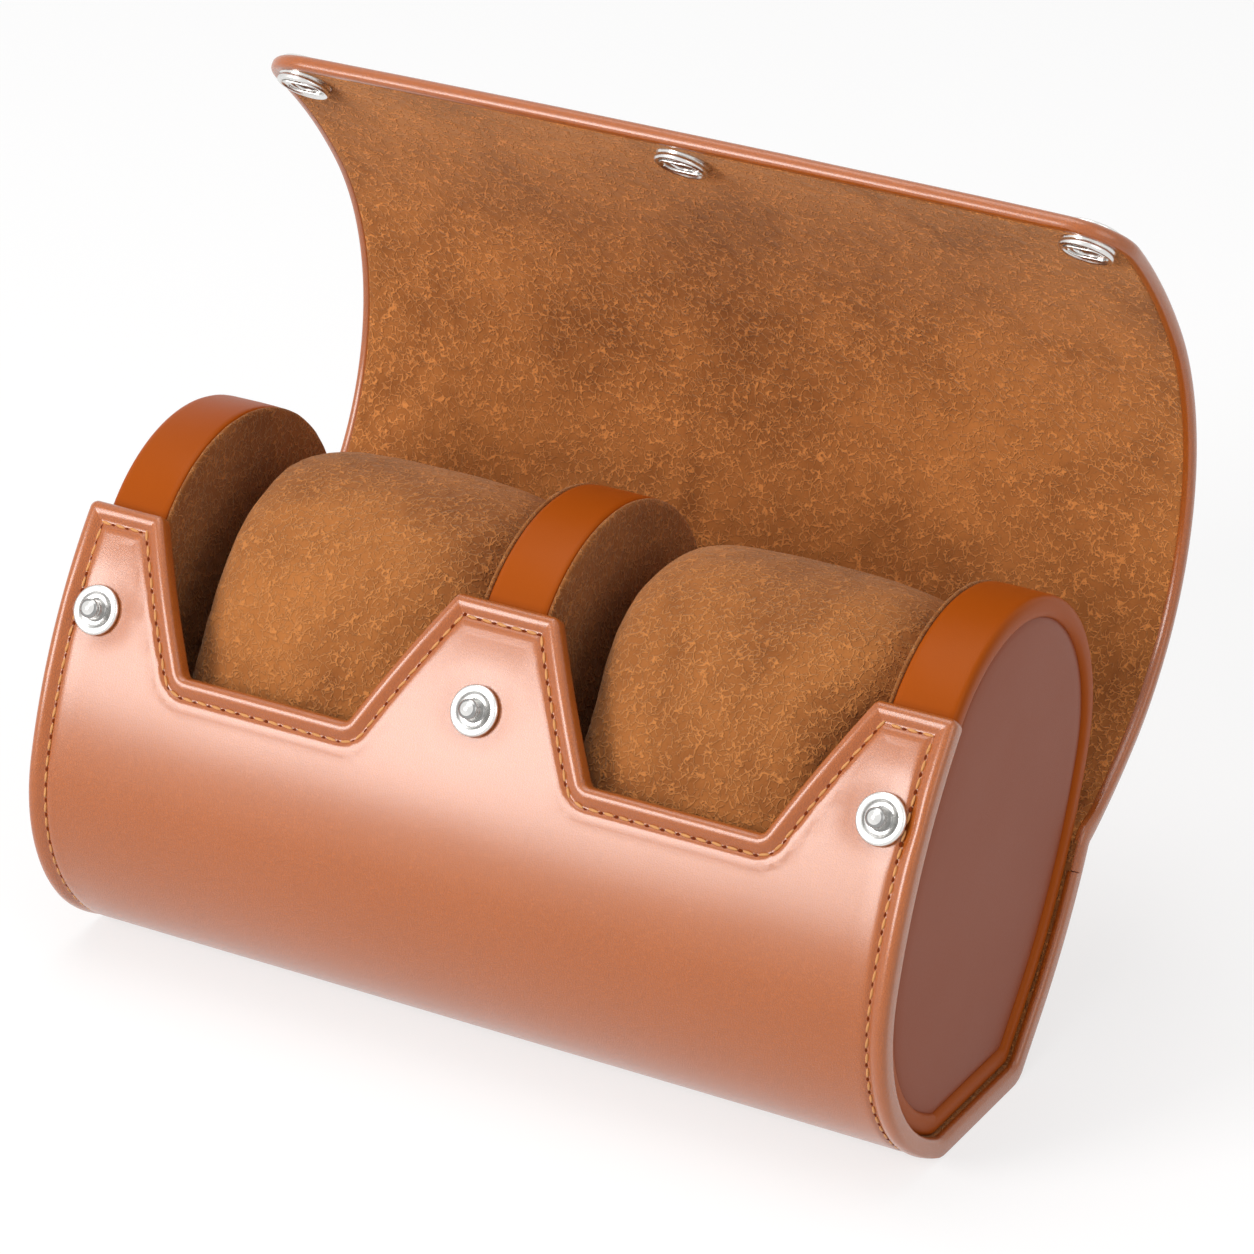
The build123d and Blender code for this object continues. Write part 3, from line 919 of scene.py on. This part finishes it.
def bend_over(piece, number, slot, *nodes):
    """Bakes a piece of the flap into place and hides the CAD nodes that it stands for."""
    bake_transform(piece)
    dress(nodes)


def foot_ease(course, distance):
    """How much of the rim's rise is left: none on the base, where it would stand in the floor."""
    return limited((course.at(distance)[1].y + FLAT_UNDER) / FOOT_EASE)


def thicken_at_fold(course, sizes, distance, height):
    """A height under the leather, brought from the flap's thickness to the wrap's at the fold."""
    t = limited((distance - course.fold_at) / FOLD_TAPER)
    extra = (sizes.wrap - THICKNESS_GAP - sizes.flap) * (1 - t * t * (3 - 2 * t))
    return height - extra * (-height - sizes.leather) / (sizes.flap - sizes.leather)


def leather_lift(course, sizes, front):
    """Heights of the finished leather: its rim, slow ripples, and puckers at the studs."""
    flap_from = course.fold_at - SEAM_BEFORE_FOLD + 0.1 * MM

    def lift(x, distance, height):
        if height > UNDER_LEATHER:
            ease = foot_ease(course, distance)
            edge = limited((HALF - abs(x)) / CALM_EDGE)
            height = height * ease + ripple(x, distance) * ease * edge
            height -= pucker(front, x, distance, course.stud_at)
            height -= pucker(front, x, distance, course.stud_at_flap) * 0.5
        elif distance >= flap_from and height < -sizes.leather:
            height = thicken_at_fold(course, sizes, distance, height)
        return height
    return lift


# Operators

WRAP_BELOW = 0.15 * MM      # how far the wrap's turned leather reaches under the wrap
WRAP_TURN_IN = 1.9 * MM
WRAP_FIRST_CUT, WRAP_CUTS, WRAP_FINE = 0.5 * MM, 1.5 * MM, 0.15 * MM
CLEAR_OF_CORNERS = 8 * MM   # the leather isn't cut lengthways nearer to its round corners
PAST_SOCKETS = 8.8 * MM     # last cut across the flap's tip
PIT_CUTS = [k * 0.9 * MM for k in range(-3, 4)]   # fine cuts round each socket
PIT_ACROSS, PIT_UP = 3.4 * MM, 3.2 * MM           # the wide cuts stay this far from a socket
LINING_UNDER_RIM = 0.25 * MM
LINING_BEFORE_FOLD = 0.6 * MM
LINING_LIP = 0.1 * MM       # the lining's top edge, which stays as it is
DENT, DENT_REACH = 0.35 * MM, 7 * MM              # the lining is pressed in round a socket
PIT, PIT_REACH = 0.8 * MM, 1.8 * MM               # and gives way to the stud's point

# Outlines in millimetres: the lining's edge, the band's edge and outside, the end face, the suede
LINING_TOP = ((0.6, 0), (0, -0.2))
LINING_NAP = ((-0.05, 0.25), (0.15, 0.02), (0.6, -0.10), (1.6, -0.12), (4, 0))
BAND_EDGE = ((0, 1.1), (0.1, 0.45), (0.5, 0.1), (1.4, 0))
BAND_ROUND = ((-1.9, 0), (-1.1, 0.06), (-0.5, 0.3), (-0.14, 0.85), (0, 1.7), (-0.02, 2.8),
              (-0.18, 3.6))
DISC_CROWN = ((-1.0, 0.95), (-0.72, 1.5), (-0.55, 2.6), (-0.45, 5), (-0.4, 10), (-0.4, 17))
NAP_EDGE = ((-0.02, 14), (-0.02, 0.5), (-0.1, 0.2), (-0.3, 0.08), (-0.6, 0.12))
NAP_FACE = ((0, 0.4), (-0.12, 1.2), (0, 4), (0, 20))

# Distances from a cushion's end and depths under its crown, in millimetres
CUSHION_CROWN = ((1.3, 24), (1.0, 15), (0.9, 10.0), (1.3, 7.2), (2.4, 5.0), (4.2, 3.2),
                 (7.0, 1.8), (11, 0.9), (17, 0.3), (25, 0.05))
SWELL_ROOM = 0.7 * MM       # depth left free for a cushion's swelling
CUSHION_GRID = 4 * MM       # size of the faces that a cushion swells with
PRESSURE, CLOTH_FRAMES = 4.0, 20

# Radii and heights of the metal discs, in millimetres
STUD_OUTLINE = (
    (0, -0.5), (1.4, -0.5), (4.3, -0.25), (4.62, -0.1), (4.75, 0.15), (4.75, 0.42), (4.66, 0.66),
    (4.45, 0.84), (4.15, 0.9), (3.75, 0.9), (3.45, 0.86), (3.3, 0.78), (3.12, 0.6), (2.85, 0.5),
    (2.3, 0.46), (2.12, 0.5), (2.0, 0.7), (1.9, 1.1), (1.62, 1.5), (1.52, 1.85), (1.58, 2.15),
    (1.82, 2.5), (1.9, 2.72), (1.84, 2.92), (1.62, 3.1), (1.3, 3.28), (0.95, 3.4), (0.6, 3.6),
    (0.3, 3.7), (0, 3.72),
)
SOCKET_OUTLINE = (
    (2.35, 0.8), (2.42, 0.55), (2.65, 0.44), (3.9, 0.44), (4.15, 0.34), (4.32, 0.14), (4.5, 0.03),
    (4.72, 0.0), (5.0, 0.12), (5.18, 0.4), (5.2, 0.8), (5.05, 1.15), (4.8, 1.35), (4.9, 1.6),
    (5.15, 1.72), (5.15, 2.25), (2.5, 2.25), (2.4, 1.6), (2.3, 1.1), (2.35, 0.8),
)
CAP_OUTLINE = (
    (0, -0.6), (2.3, -0.6), (4.9, -0.25), (5.4, -0.1), (5.6, 0.12), (5.58, 0.34), (5.35, 0.55),
    (4.8, 0.76), (4.0, 0.96), (3.0, 1.12), (1.8, 1.24), (0.8, 1.29), (0, 1.3),
)
SPRING_LINE = ((-3.6, 0.6), (-3.2, 1.8), (-1.9, 2.25), (0, 2.2), (1.8, 2.3), (3.0, 2.35),
               (3.7, 1.4))
SPRING_LEVEL, SPRING_WIRE = 0.28 * MM, 0.2 * MM
SOCKET_SINK = 0.95 * MM     # half of a socket's thickness
CAP_SINK = 0.05 * MM
# Faces of the post and the dish floor inside these are painted darker: painted shade.
POST_RADIUS, POST_FROM, POST_TO = 2.45 * MM, 0.3 * MM, 3.3 * MM
LATHE_STEPS = 56
LATHE_MERGE = 2e-6

# Name, place, watts, width, height and colour of each lamp, and the place that they face
LAMPS = (
    ("key", (-0.62, -1.07, 0.58), 12.2, 0.52, 0.68, (1.0, 0.97, 0.96)),
    ("fill", (1.2, -0.4, 0.8), 3.0, 0.8, 0.8, (1.0, 0.98, 0.97)),
    ("top", (-0.2, -0.1, 1.5), 8.0, 1.1, 0.9, (1.0, 1.0, 1.0)),
)
LIT_PLACE = Vector((0, 0.02, 0.07))
FLOOR_REACH, FLOOR_DROP = 6, 0.0002
CAMERA_AT = (0.4745, -0.7905, 0.5283)
CAMERA_TURN, CAMERA_DROP, CAMERA_ROLL = (math.radians(a) for a in (30.25, 26.25, -0.16))
FOCAL_LENGTH, SENSOR, CLIP_END = 162.7, 36, 20


def moved(rows, first, second):
    """Rows in millimetres, moved to a face and a depth."""
    return [(first + a * MM, second + b * MM) for a, b in rows]


def away_from_studs(front, x):
    """Distance along the roll from the nearest stud or socket."""
    return min(abs(x - stud) for stud in stud_places(front))


class ROLL_OT_wrap(bpy.types.Operator):
    """Make the wrap's leather with its turned rim round the tabs, valleys and ends"""

    bl_idname = "watch_roll.wrap"
    bl_label = "Wrap leather"

    def execute(self, context):
        sizes, front, _, finish = settings(context)
        course = full_course(sizes, front)
        seam = seam_places(course)[0]
        corners, radii, bends = wrap_outline(sizes, front, seam)
        profile = rim_profile(sizes, sizes.wrap + WRAP_BELOW, WRAP_TURN_IN)
        bm = flat_leather(corners, radii, bends, profile)
        cut_through(bm, 1, spaced(WRAP_FIRST_CUT, seam, WRAP_CUTS, WRAP_FINE))
        cut_through(bm, 0, across_roll(CLEAR_OF_CORNERS, 3 * MM))
        lay_on(bm, course, leather_lift(course, sizes, front))
        piece = finish_piece(context, "wrap_shell", bm, [wrap_leather_finish(finish)])
        place(piece, "case", "tan_leather", "wrap_leather")
        thread = bmesh.new()
        sew(thread, edge_path(corners, radii, sizes.rim_width, bends), sizes, front)
        lay_on(thread, course, lambda x, distance, height: height * foot_ease(course, distance))
        piece = finish_piece(context, "wrap_stitching", thread, stitch_finishes(finish))
        place(piece, "case", "tan_leather")
        return {"FINISHED"}


class ROLL_OT_flap_leather(bpy.types.Operator):
    """Make the flap's leather, one piece over each hinge line, with its turned rim and stitches"""

    bl_idname = "watch_roll.flap_leather"
    bl_label = "Flap leather"

    def execute(self, context):
        sizes, front, _, finish = settings(context)
        course = full_course(sizes, front)
        seams = seam_places(course)
        lift = leather_lift(course, sizes, front)
        profile = rim_profile(sizes, sizes.flap, sizes.flap_rim)
        corners, radii, bends = flap_outline(course, seams[-1])
        sewn = HALF - sizes.rim_width
        for number, low in enumerate(seams):
            if number < STRIPS - 1:
                high = seams[number + 1]
                bm = strip_leather(low, high, profile, spaced(low, high, 0.7 * MM))
                paths = [[Vector((x, low)), Vector((x, high))] for x in (-sewn, sewn)]
            else:
                bm = flat_leather(corners, radii, bends, profile)
                cut_through(bm, 1, spaced(low, course.stud_at_flap + PAST_SOCKETS, 1.2 * MM))
                cut_through(bm, 0, across_roll(CLEAR_OF_CORNERS, 4 * MM))
                paths = [edge_path(corners, radii, sizes.rim_width, bends)]
            lay_on(bm, course, lift)
            name = "flap_skin_%d" % (number + 1)
            piece = finish_piece(context, name, bm, [wrap_leather_finish(finish)])
            bend_over(piece, number, "tan_leather", "flap_leather_%d" % (number + 1))
            thread = bmesh.new()
            for path in paths:
                sew(thread, path, sizes, front)
            lay_on(thread, course)
            name = "flap_stitching_%d" % (number + 1)
            piece = finish_piece(context, name, thread, stitch_finishes(finish))
            bend_over(piece, number, "tan_leather")
        return {"FINISHED"}


class ROLL_OT_flap_lining(bpy.types.Operator):
    """Make the flap's suede lining, one piece over each hinge line"""

    bl_idname = "watch_roll.flap_lining"
    bl_label = "Flap lining"

    def execute(self, context):
        sizes, front, _, finish = settings(context)
        course = full_course(sizes, front)
        seams = seam_places(course)
        edge = sizes.flap_rim - LINING_UNDER_RIM
        profile = moved(LINING_TOP, edge, -sizes.leather) + moved(LINING_NAP, edge, -sizes.flap)
        outline = flap_outline(course, seams[-1])
        # The flap's suede is painted lighter than the other suede: painted light.
        suede = suede_finish(finish, "flap_suede", 0.45, 1.25)

        def lift(x, distance, height):
            if height < -sizes.leather - LINING_LIP:
                height = thicken_at_fold(course, sizes, distance, height)
                spot = Vector((x * 45, distance * 45, 2.0))
                height += (noise.noise(spot) * 0.16 + noise.noise(spot * 4) * 0.07) * MM
                away = math.hypot(away_from_studs(front, x), distance - course.stud_at_flap)
                height += DENT * math.exp(-((away / DENT_REACH) ** 2))
                height += PIT * math.exp(-((away / PIT_REACH) ** 4))
            return height

        for number, low in enumerate([course.fold_at - LINING_BEFORE_FOLD] + seams[1:]):
            if number < STRIPS - 1:
                high = seams[number + 1]
                bm = strip_leather(low, high, profile, spaced(low, high, 0.9 * MM), 3 * MM)
            else:
                bm = flat_leather(*outline, profile)
                cut_through(bm, 1, self.cuts_up(course, low))
                cut_through(bm, 0, self.cuts_across(front))
            lay_on(bm, course, lift)
            piece = finish_piece(context, "flap_nap_%d" % (number + 1), bm, [suede])
            bend_over(piece, number, "suede", "flap_lining_%d" % (number + 1))
        return {"FINISHED"}

    def cuts_up(self, course, low):
        """Places of the cuts across the tip, closer together at the sockets."""
        here = course.stud_at_flap
        wide = [d for d in spaced(low, here + 7 * MM, 1.2 * MM) if abs(d - here) > PIT_UP]
        return sorted(wide + [here + p for p in PIT_CUTS])

    def cuts_across(self, front):
        """Places of the cuts lengthways through the tip, closer together at the sockets."""
        wide = [x for x in across_roll(12 * MM, 3 * MM) if away_from_studs(front, x) > PIT_ACROSS]
        return sorted(wide + [stud + p for stud in stud_places(front) for p in PIT_CUTS])


class ROLL_OT_panels(bpy.types.Operator):
    """Make the leather bands, end faces and suede faces of the two end panels and the divider"""

    bl_idname = "watch_roll.panels"
    bl_label = "Oval panels"

    def execute(self, context):
        sizes, _, inside, finish = settings(context)
        band = leather_finish(finish, "band_leather_deep", finish.band, scale=2400.0, coat=0.05,
                              contrast=0.12, bump=0.12, shine=0.15)
        # The end faces' leather is partly painted shade of the dimmer ends.
        face = leather_finish(finish, "end_face_leather", finish.face, scale=2400.0, coat=0.08,
                              contrast=0.15, bump=0.1, shine=0.3)
        # The panels' suede is painted darker than the flap's: painted shade.
        suede = suede_finish(finish, "panel_suede", 0.35, 0.8)
        end_band, disc, nap, middle = self.profiles(sizes, inside)
        across = inside.panel_inner + inside.divider
        for side, way in (("right", 1), ("left", -1)):
            parts = (
                (oval_ring, "end_band_", band, "band_leather", "end_panel_band_", end_band),
                (oval_form, "end_disc_", face, "end_leather", "end_panel_face_", disc),
                (oval_form, "end_nap_", suede, "suede", "end_panel_suede_", nap),
                (oval_form, "divider_nap_", suede, "suede", "divider_suede_",
                 [(across - x, depth) for x, depth in nap]),
            )
            for make, name, material, slot, node, rows in parts:
                bm = make(sizes, [(way * x, depth) for x, depth in rows])
                piece = finish_piece(context, name + side, bm, [material])
                if material is suede:
                    self.roughen(piece)
                place(piece, "case", slot, node + side)
        piece = finish_piece(context, "divider_strap", oval_ring(sizes, middle), [band])
        place(piece, "case", "band_leather", "divider_band")
        return {"FINISHED"}

    def profiles(self, sizes, inside):
        """Places along X and depths of an end band, an end face, its suede and the divider."""
        top, thick, half = sizes.wrap, sizes.leather, inside.divider
        out, inn = inside.panel_outer, inside.panel_inner
        under, lip = top + thick, top + inside.lip
        end_band = moved(BAND_EDGE + ((5, -0.05),), inn, top) + moved(BAND_ROUND, out, top)
        end_band += [
            (out - 0.6 * MM, lip + thick - 0.2 * MM), (out - thick, lip + thick),
            (out - thick, under + 0.6 * MM), (out - 1.6 * MM, under + 0.1 * MM),
            (inn + 0.4 * MM, under + 0.1 * MM),
        ]
        disc = [(out - thick + 0.02 * MM, lip + 0.6 * MM)] + moved(DISC_CROWN, out, lip)
        nap = moved(NAP_EDGE, inn, top) + moved(NAP_FACE, inn - inside.suede, top)
        left = moved(BAND_EDGE, -half, top)
        middle = [(-x, depth) for x, depth in left] + [(0, top - 0.05 * MM)] + left[::-1]
        middle += [(x, under + 0.1 * MM) for x in (-half + 0.3 * MM, half - 0.3 * MM)]
        return end_band, disc, nap, middle

    def roughen(self, piece):
        """Gives the cut edge of the suede its uneven line."""
        for vert in piece.data.vertices:
            spot = vert.co * 900
            shift = (noise.noise(spot) * 0.05, noise.noise(spot + Vector((9, 0, 0))) * 0.12,
                     noise.noise(spot + Vector((0, 9, 0))) * 0.12)
            vert.co += Vector(shift) * MM


class ROLL_OT_cushions(bpy.types.Operator):
    """Make the two stuffed suede cushions"""

    bl_idname = "watch_roll.cushions"
    bl_label = "Cushions"

    def execute(self, context):
        sizes, _, inside, finish = settings(context)
        # The cushions' suede is painted a little darker: painted shade.
        suede = suede_finish(finish, "cushion_suede", 0.5, 0.95)
        length = (inside.panel_inner - inside.divider - 2 * inside.suede
                  - inside.cushion_gap - inside.cushion_end)
        ends = {"left": -inside.divider - inside.suede, "right": inside.panel_inner - inside.suede}
        for side, slot_end in ends.items():
            x_to = slot_end - inside.cushion_end
            bm = self.crowned(sizes, inside, x_to - length, x_to)
            piece = finish_piece(context, "cushion_" + side, bm, [suede])
            self.stuff(context, piece, inside.cushion_swell)
            place(piece, "case", "suede", "cushion_cover_" + side, "cushion_foam_" + side)
        return {"FINISHED"}

    def crowned(self, sizes, inside, x_from, x_to):
        """An oval form with crowned ends, a little under the finished size."""
        fit = sizes.wrap + inside.cushion_fit + SWELL_ROOM
        profile = moved(CUSHION_CROWN, x_from, fit)
        profile += [(x_to - a * MM, fit + b * MM) for a, b in reversed(CUSHION_CROWN)]
        bm = oval_form(sizes, profile)
        bmesh.ops.translate(bm, vec=(0, 0, -inside.cushion_fit), verts=bm.verts)
        return bm

    def stuff(self, context, piece, limit):
        """Swells a cushion as cloth, makes it finer and gives it slow unevenness."""
        remesh = piece.modifiers.new("remesh", "REMESH")
        remesh.mode = "VOXEL"
        remesh.voxel_size = CUSHION_GRID
        self.bake(context, piece)
        self.swell(context, piece, limit)
        finer = piece.modifiers.new("finer", "SUBSURF")
        finer.levels = finer.render_levels = 2
        self.bake(context, piece)
        outward = [vert.normal.copy() for vert in piece.data.vertices]
        for vert, way in zip(piece.data.vertices, outward):
            spot = vert.co * 55
            vert.co += way * (noise.noise(spot) * 0.22 + noise.noise(spot * 3.7) * 0.08) * MM
        piece.data.polygons.foreach_set("use_smooth", [True] * len(piece.data.polygons))
        piece.data.update()

    def bake(self, context, piece):
        """Applies the modifiers to the mesh."""
        graph = context.evaluated_depsgraph_get()
        mesh = bpy.data.meshes.new_from_object(piece.evaluated_get(graph))
        old = piece.data
        piece.modifiers.clear()
        piece.data = mesh
        bpy.data.meshes.remove(old)

    def swell(self, context, piece, limit):
        """Blows the cushion up as cloth, and keeps each point within its limit."""
        before = [v.co.copy() for v in piece.data.vertices]
        cloth = piece.modifiers.new("cloth", "CLOTH")
        cloth.settings.use_pressure = True
        cloth.settings.uniform_pressure_force = PRESSURE
        cloth.settings.effector_weights.gravity = 0.0
        cloth.point_cache.frame_start = 1
        cloth.point_cache.frame_end = CLOTH_FRAMES
        for moment in range(1, CLOTH_FRAMES + 1):
            context.scene.frame_set(moment)
        self.bake(context, piece)
        context.scene.frame_set(1)
        for vert, start in zip(piece.data.vertices, before):
            move = vert.co - start
            if move.length > limit:
                move *= limit / move.length
            vert.co = start + move
        piece.data.update()


def lathed(outline):
    """A form spun from an outline of radii and heights in millimetres."""
    bm = bmesh.new()
    verts = [bm.verts.new((radius * MM, 0, height * MM)) for radius, height in outline]
    edges = [bm.edges.new(pair) for pair in zip(verts, verts[1:])]
    bmesh.ops.spin(
        bm, geom=verts + edges, cent=(0, 0, 0), axis=(0, 0, 1), angle=2 * math.pi,
        steps=LATHE_STEPS, use_merge=True, use_duplicate=False,
    )
    bmesh.ops.remove_doubles(bm, verts=bm.verts, dist=LATHE_MERGE)
    return bm


def join_in(bm, part, matrix):
    """Adds a part at its place, and frees it."""
    bmesh.ops.transform(part, matrix=matrix, verts=part.verts)
    mesh = bpy.data.meshes.new("part")
    part.to_mesh(mesh)
    part.free()
    bm.from_mesh(mesh)
    bpy.data.meshes.remove(mesh)


def facing(point, normal):
    """Matrix of a place whose Z points along a normal and whose X runs along the roll."""
    across = Vector((1, 0, 0))
    up = normal.cross(across).normalized()
    turn = Matrix((across, up, normal)).transposed().to_4x4()
    return Matrix.Translation(point) @ turn


class ROLL_OT_studs(bpy.types.Operator):
    """Make the three press studs on the tabs"""

    bl_idname = "watch_roll.studs"
    bl_label = "Press studs"

    def execute(self, context):
        sizes, front, _, finish = settings(context)
        course = full_course(sizes, front)
        point, normal = course.at(course.stud_at)
        bm = bmesh.new()
        for x in stud_places(front):
            stud = lathed(STUD_OUTLINE)
            self.paint_post_shade(stud)
            there = facing(Vector((x, point.x, point.y)), Vector((0, normal.x, normal.y)))
            join_in(bm, stud, there)
        # The post's material is the nickel darkened to 0.42: painted shade.
        materials = [nickel_finish(finish), nickel_finish(finish, "nickel_post_shade", 0.42)]
        place(finish_piece(context, "press_studs", bm, materials), "case", "nickel", "snap_studs")
        return {"FINISHED"}

    def paint_post_shade(self, stud):
        """Paints the post and the floor of the dish round it darker: painted shade."""
        for face in stud.faces:
            spot = face.calc_center_median()
            if math.hypot(spot.x, spot.y) < POST_RADIUS and POST_FROM < spot.z < POST_TO:
                face.material_index = 1


class ROLL_OT_sockets(bpy.types.Operator):
    """Make the sockets with their springs on the suede, and the caps on the leather"""

    bl_idname = "watch_roll.sockets"
    bl_label = "Sockets and caps"

    def execute(self, context):
        nickel = nickel_finish(settings(context)[-1])
        rings, domes = bmesh.new(), bmesh.new()
        for socket, cap in zip(disc_centres("snap_sockets"), disc_centres("snap_caps")):
            out = (cap - socket).normalized()
            there = facing(socket - out * SOCKET_SINK, out)
            join_in(rings, lathed(SOCKET_OUTLINE), there)
            for side in (-1, 1):
                join_in(rings, self.spring(side), there)
            join_in(domes, lathed(CAP_OUTLINE), facing(cap - out * CAP_SINK, out))
        piece = finish_piece(context, "snap_rings", rings, [nickel])
        place(piece, "flap_8", "nickel", "snap_sockets")
        piece = finish_piece(context, "snap_domes", domes, [nickel])
        place(piece, "flap_8", "nickel", "snap_caps")
        return {"FINISHED"}

    def spring(self, side):
        """One bent wire of the S-shaped spring across a socket."""
        curve = bpy.data.curves.new("spring_wire", "CURVE")
        curve.dimensions = "3D"
        spline = curve.splines.new("NURBS")
        spline.points.add(len(SPRING_LINE) - 1)
        for target, (x, y) in zip(spline.points, SPRING_LINE):
            target.co = (x * MM * side, y * MM * side, SPRING_LEVEL, 1)
        spline.order_u = 3
        spline.use_endpoint_u = True
        curve.bevel_depth = SPRING_WIRE
        curve.bevel_resolution = 3
        curve.use_fill_caps = True
        wire = bpy.data.objects.new("spring_wire", curve)
        mesh = bpy.data.meshes.new_from_object(wire)
        bm = bmesh.new()
        bm.from_mesh(mesh)
        bmesh.ops.remove_doubles(bm, verts=bm.verts, dist=MERGE)
        bpy.data.objects.remove(wire)
        bpy.data.curves.remove(curve)
        bpy.data.meshes.remove(mesh)
        return bm


class ROLL_OT_hidden(bpy.types.Operator):
    """Give the lining, boards, cores and rivets that stay as they are their finishes"""

    bl_idname = "watch_roll.hidden"
    bl_label = "Inner pieces"

    def execute(self, context):
        finish = settings(context)[-1]
        board = suede_finish(finish, "board_fibre", 0.3, 0.7)
        kinds = {
            "wrap_lining": suede_finish(finish, "lining_suede", 0.4, 0.85),
            "wrap_board": board, "core": board, "rivets": nickel_finish(finish),
        }
        for name, node in frame["nodes"].items():
            for word, material in kinds.items():
                if word in name:
                    node.data.materials.clear()
                    node.data.materials.append(material)
        return {"FINISHED"}


class ROLL_OT_stage(bpy.types.Operator):
    """Make the pale floor, the soft studio light and the camera"""

    bl_idname = "watch_roll.stage"
    bl_label = "Stage"

    def execute(self, context):
        scene = context.scene
        scene.view_settings.view_transform = "Standard"
        bm = bmesh.new()
        bmesh.ops.create_grid(bm, x_segments=1, y_segments=1, size=FLOOR_REACH)
        bmesh.ops.translate(bm, vec=(0, 0, -FLOOR_DROP), verts=bm.verts)
        floor = finish_piece(context, "floor", bm, [self.floor_finish()], False, False)
        for lamp in LAMPS:
            self.light(context, *lamp)
        self.sky(scene)
        self.camera(scene)
        return {"FINISHED"}

    def shown_white(self, tree):
        """1 for rays that show the background: the camera's, and those off metal or glass."""
        path = add(tree, "ShaderNodeLightPath").outputs
        mirrored = maths(tree, "MAXIMUM", path["Is Glossy Ray"], path["Is Transmission Ray"])
        return maths(tree, "MAXIMUM", path["Is Camera Ray"], mirrored)

    def sky(self, scene):
        """A white background that lights the roll less than it shows."""
        world = scene.world = bpy.data.worlds.new("studio")
        world.use_nodes = True
        tree = world.node_tree
        shown = tree.nodes["Background"]
        shown.inputs["Color"].default_value = (1, 1, 1, 1)
        seen = maths(tree, "MAXIMUM", self.shown_white(tree), 0.40)
        tree.links.new(seen, shown.inputs["Strength"])

    def camera(self, scene):
        """The camera that stands where the photograph was taken from."""
        lens = bpy.data.cameras.new("camera")
        lens.lens, lens.sensor_width, lens.clip_end = FOCAL_LENGTH, SENSOR, CLIP_END
        view = bpy.data.objects.new("camera", lens)
        scene.collection.objects.link(view)
        view.location = CAMERA_AT
        level = math.cos(CAMERA_DROP)
        aim = Vector((-math.sin(CAMERA_TURN) * level, math.cos(CAMERA_TURN) * level,
                      -math.sin(CAMERA_DROP)))
        turn = aim.to_track_quat("-Z", "Y").to_matrix() @ Matrix.Rotation(CAMERA_ROLL, 3, "Z")
        view.rotation_euler = turn.to_euler()
        scene.camera = view

    def floor_finish(self):
        """White paper that keeps the shadow and shows as white to the camera."""
        material = bpy.data.materials.new("white_paper")
        material.use_nodes = True
        tree = material.node_tree
        tree.nodes.clear()
        paper = add(tree, "ShaderNodeBsdfDiffuse", {"Color": (0.86, 0.86, 0.86, 1)})
        glow = add(tree, "ShaderNodeEmission", {"Strength": 1.12})
        share = times(tree, self.shown_white(tree), 0.62)
        inputs = {0: share, 1: paper.outputs[0], 2: glow.outputs[0]}
        mixed = add(tree, "ShaderNodeMixShader", inputs)
        add(tree, "ShaderNodeOutputMaterial", {"Surface": mixed.outputs[0]})
        return material

    def light(self, context, name, spot, power, width, height, shade):
        """One soft panel of light that faces the roll."""
        lamp = bpy.data.lights.new(name, "AREA")
        lamp.shape = "RECTANGLE"
        lamp.size, lamp.size_y = width, height
        lamp.energy = power
        lamp.color = shade
        panel = bpy.data.objects.new(name, lamp)
        context.scene.collection.objects.link(panel)
        panel.location = spot
        way = LIT_PLACE - panel.location
        panel.rotation_euler = way.to_track_quat("-Z", "Y").to_euler()


MAKERS = (
    ROLL_OT_stage, ROLL_OT_wrap, ROLL_OT_flap_leather, ROLL_OT_flap_lining, ROLL_OT_panels,
    ROLL_OT_cushions, ROLL_OT_studs, ROLL_OT_sockets, ROLL_OT_hidden,
)


class ROLL_PT_pieces(bpy.types.Panel):
    """The roll's sizes, finishes and pieces"""

    bl_idname = "ROLL_PT_pieces"
    bl_label = "Watch Roll"
    bl_space_type = "VIEW_3D"
    bl_region_type = "UI"
    bl_category = "Watch Roll"

    def draw(self, context):
        layout = self.layout
        for maker in MAKERS:
            layout.operator(maker.bl_idname)
        for group in GROUPS:
            values = getattr(context.scene, GROUPS[group])
            box = layout.box()
            box.label(text=group.__doc__)
            for key in group.__annotations__:
                box.prop(values, key)


GROUPS = {RollSizes: "roll_sizes", FrontSizes: "front_sizes", InsideSizes: "inside_sizes",
          RollFinish: "roll_finish"}


def register():
    """Adds the groups, the operators and the panel."""
    for group, name in GROUPS.items():
        bpy.utils.register_class(group)
        setattr(bpy.types.Scene, name, bpy.props.PointerProperty(type=group))
    for maker in MAKERS:
        bpy.utils.register_class(maker)
    bpy.utils.register_class(ROLL_PT_pieces)


def unregister():
    """Takes the panel, the operators and the groups away."""
    bpy.utils.unregister_class(ROLL_PT_pieces)
    for maker in reversed(MAKERS):
        bpy.utils.unregister_class(maker)
    for group, name in GROUPS.items():
        delattr(bpy.types.Scene, name)
        bpy.utils.unregister_class(group)


def main():
    """Makes the whole roll."""
    register()
    for maker in MAKERS:
        family, name = maker.bl_idname.split(".")
        getattr(getattr(bpy.ops, family), name)()


if __name__ == "__main__":
    main()
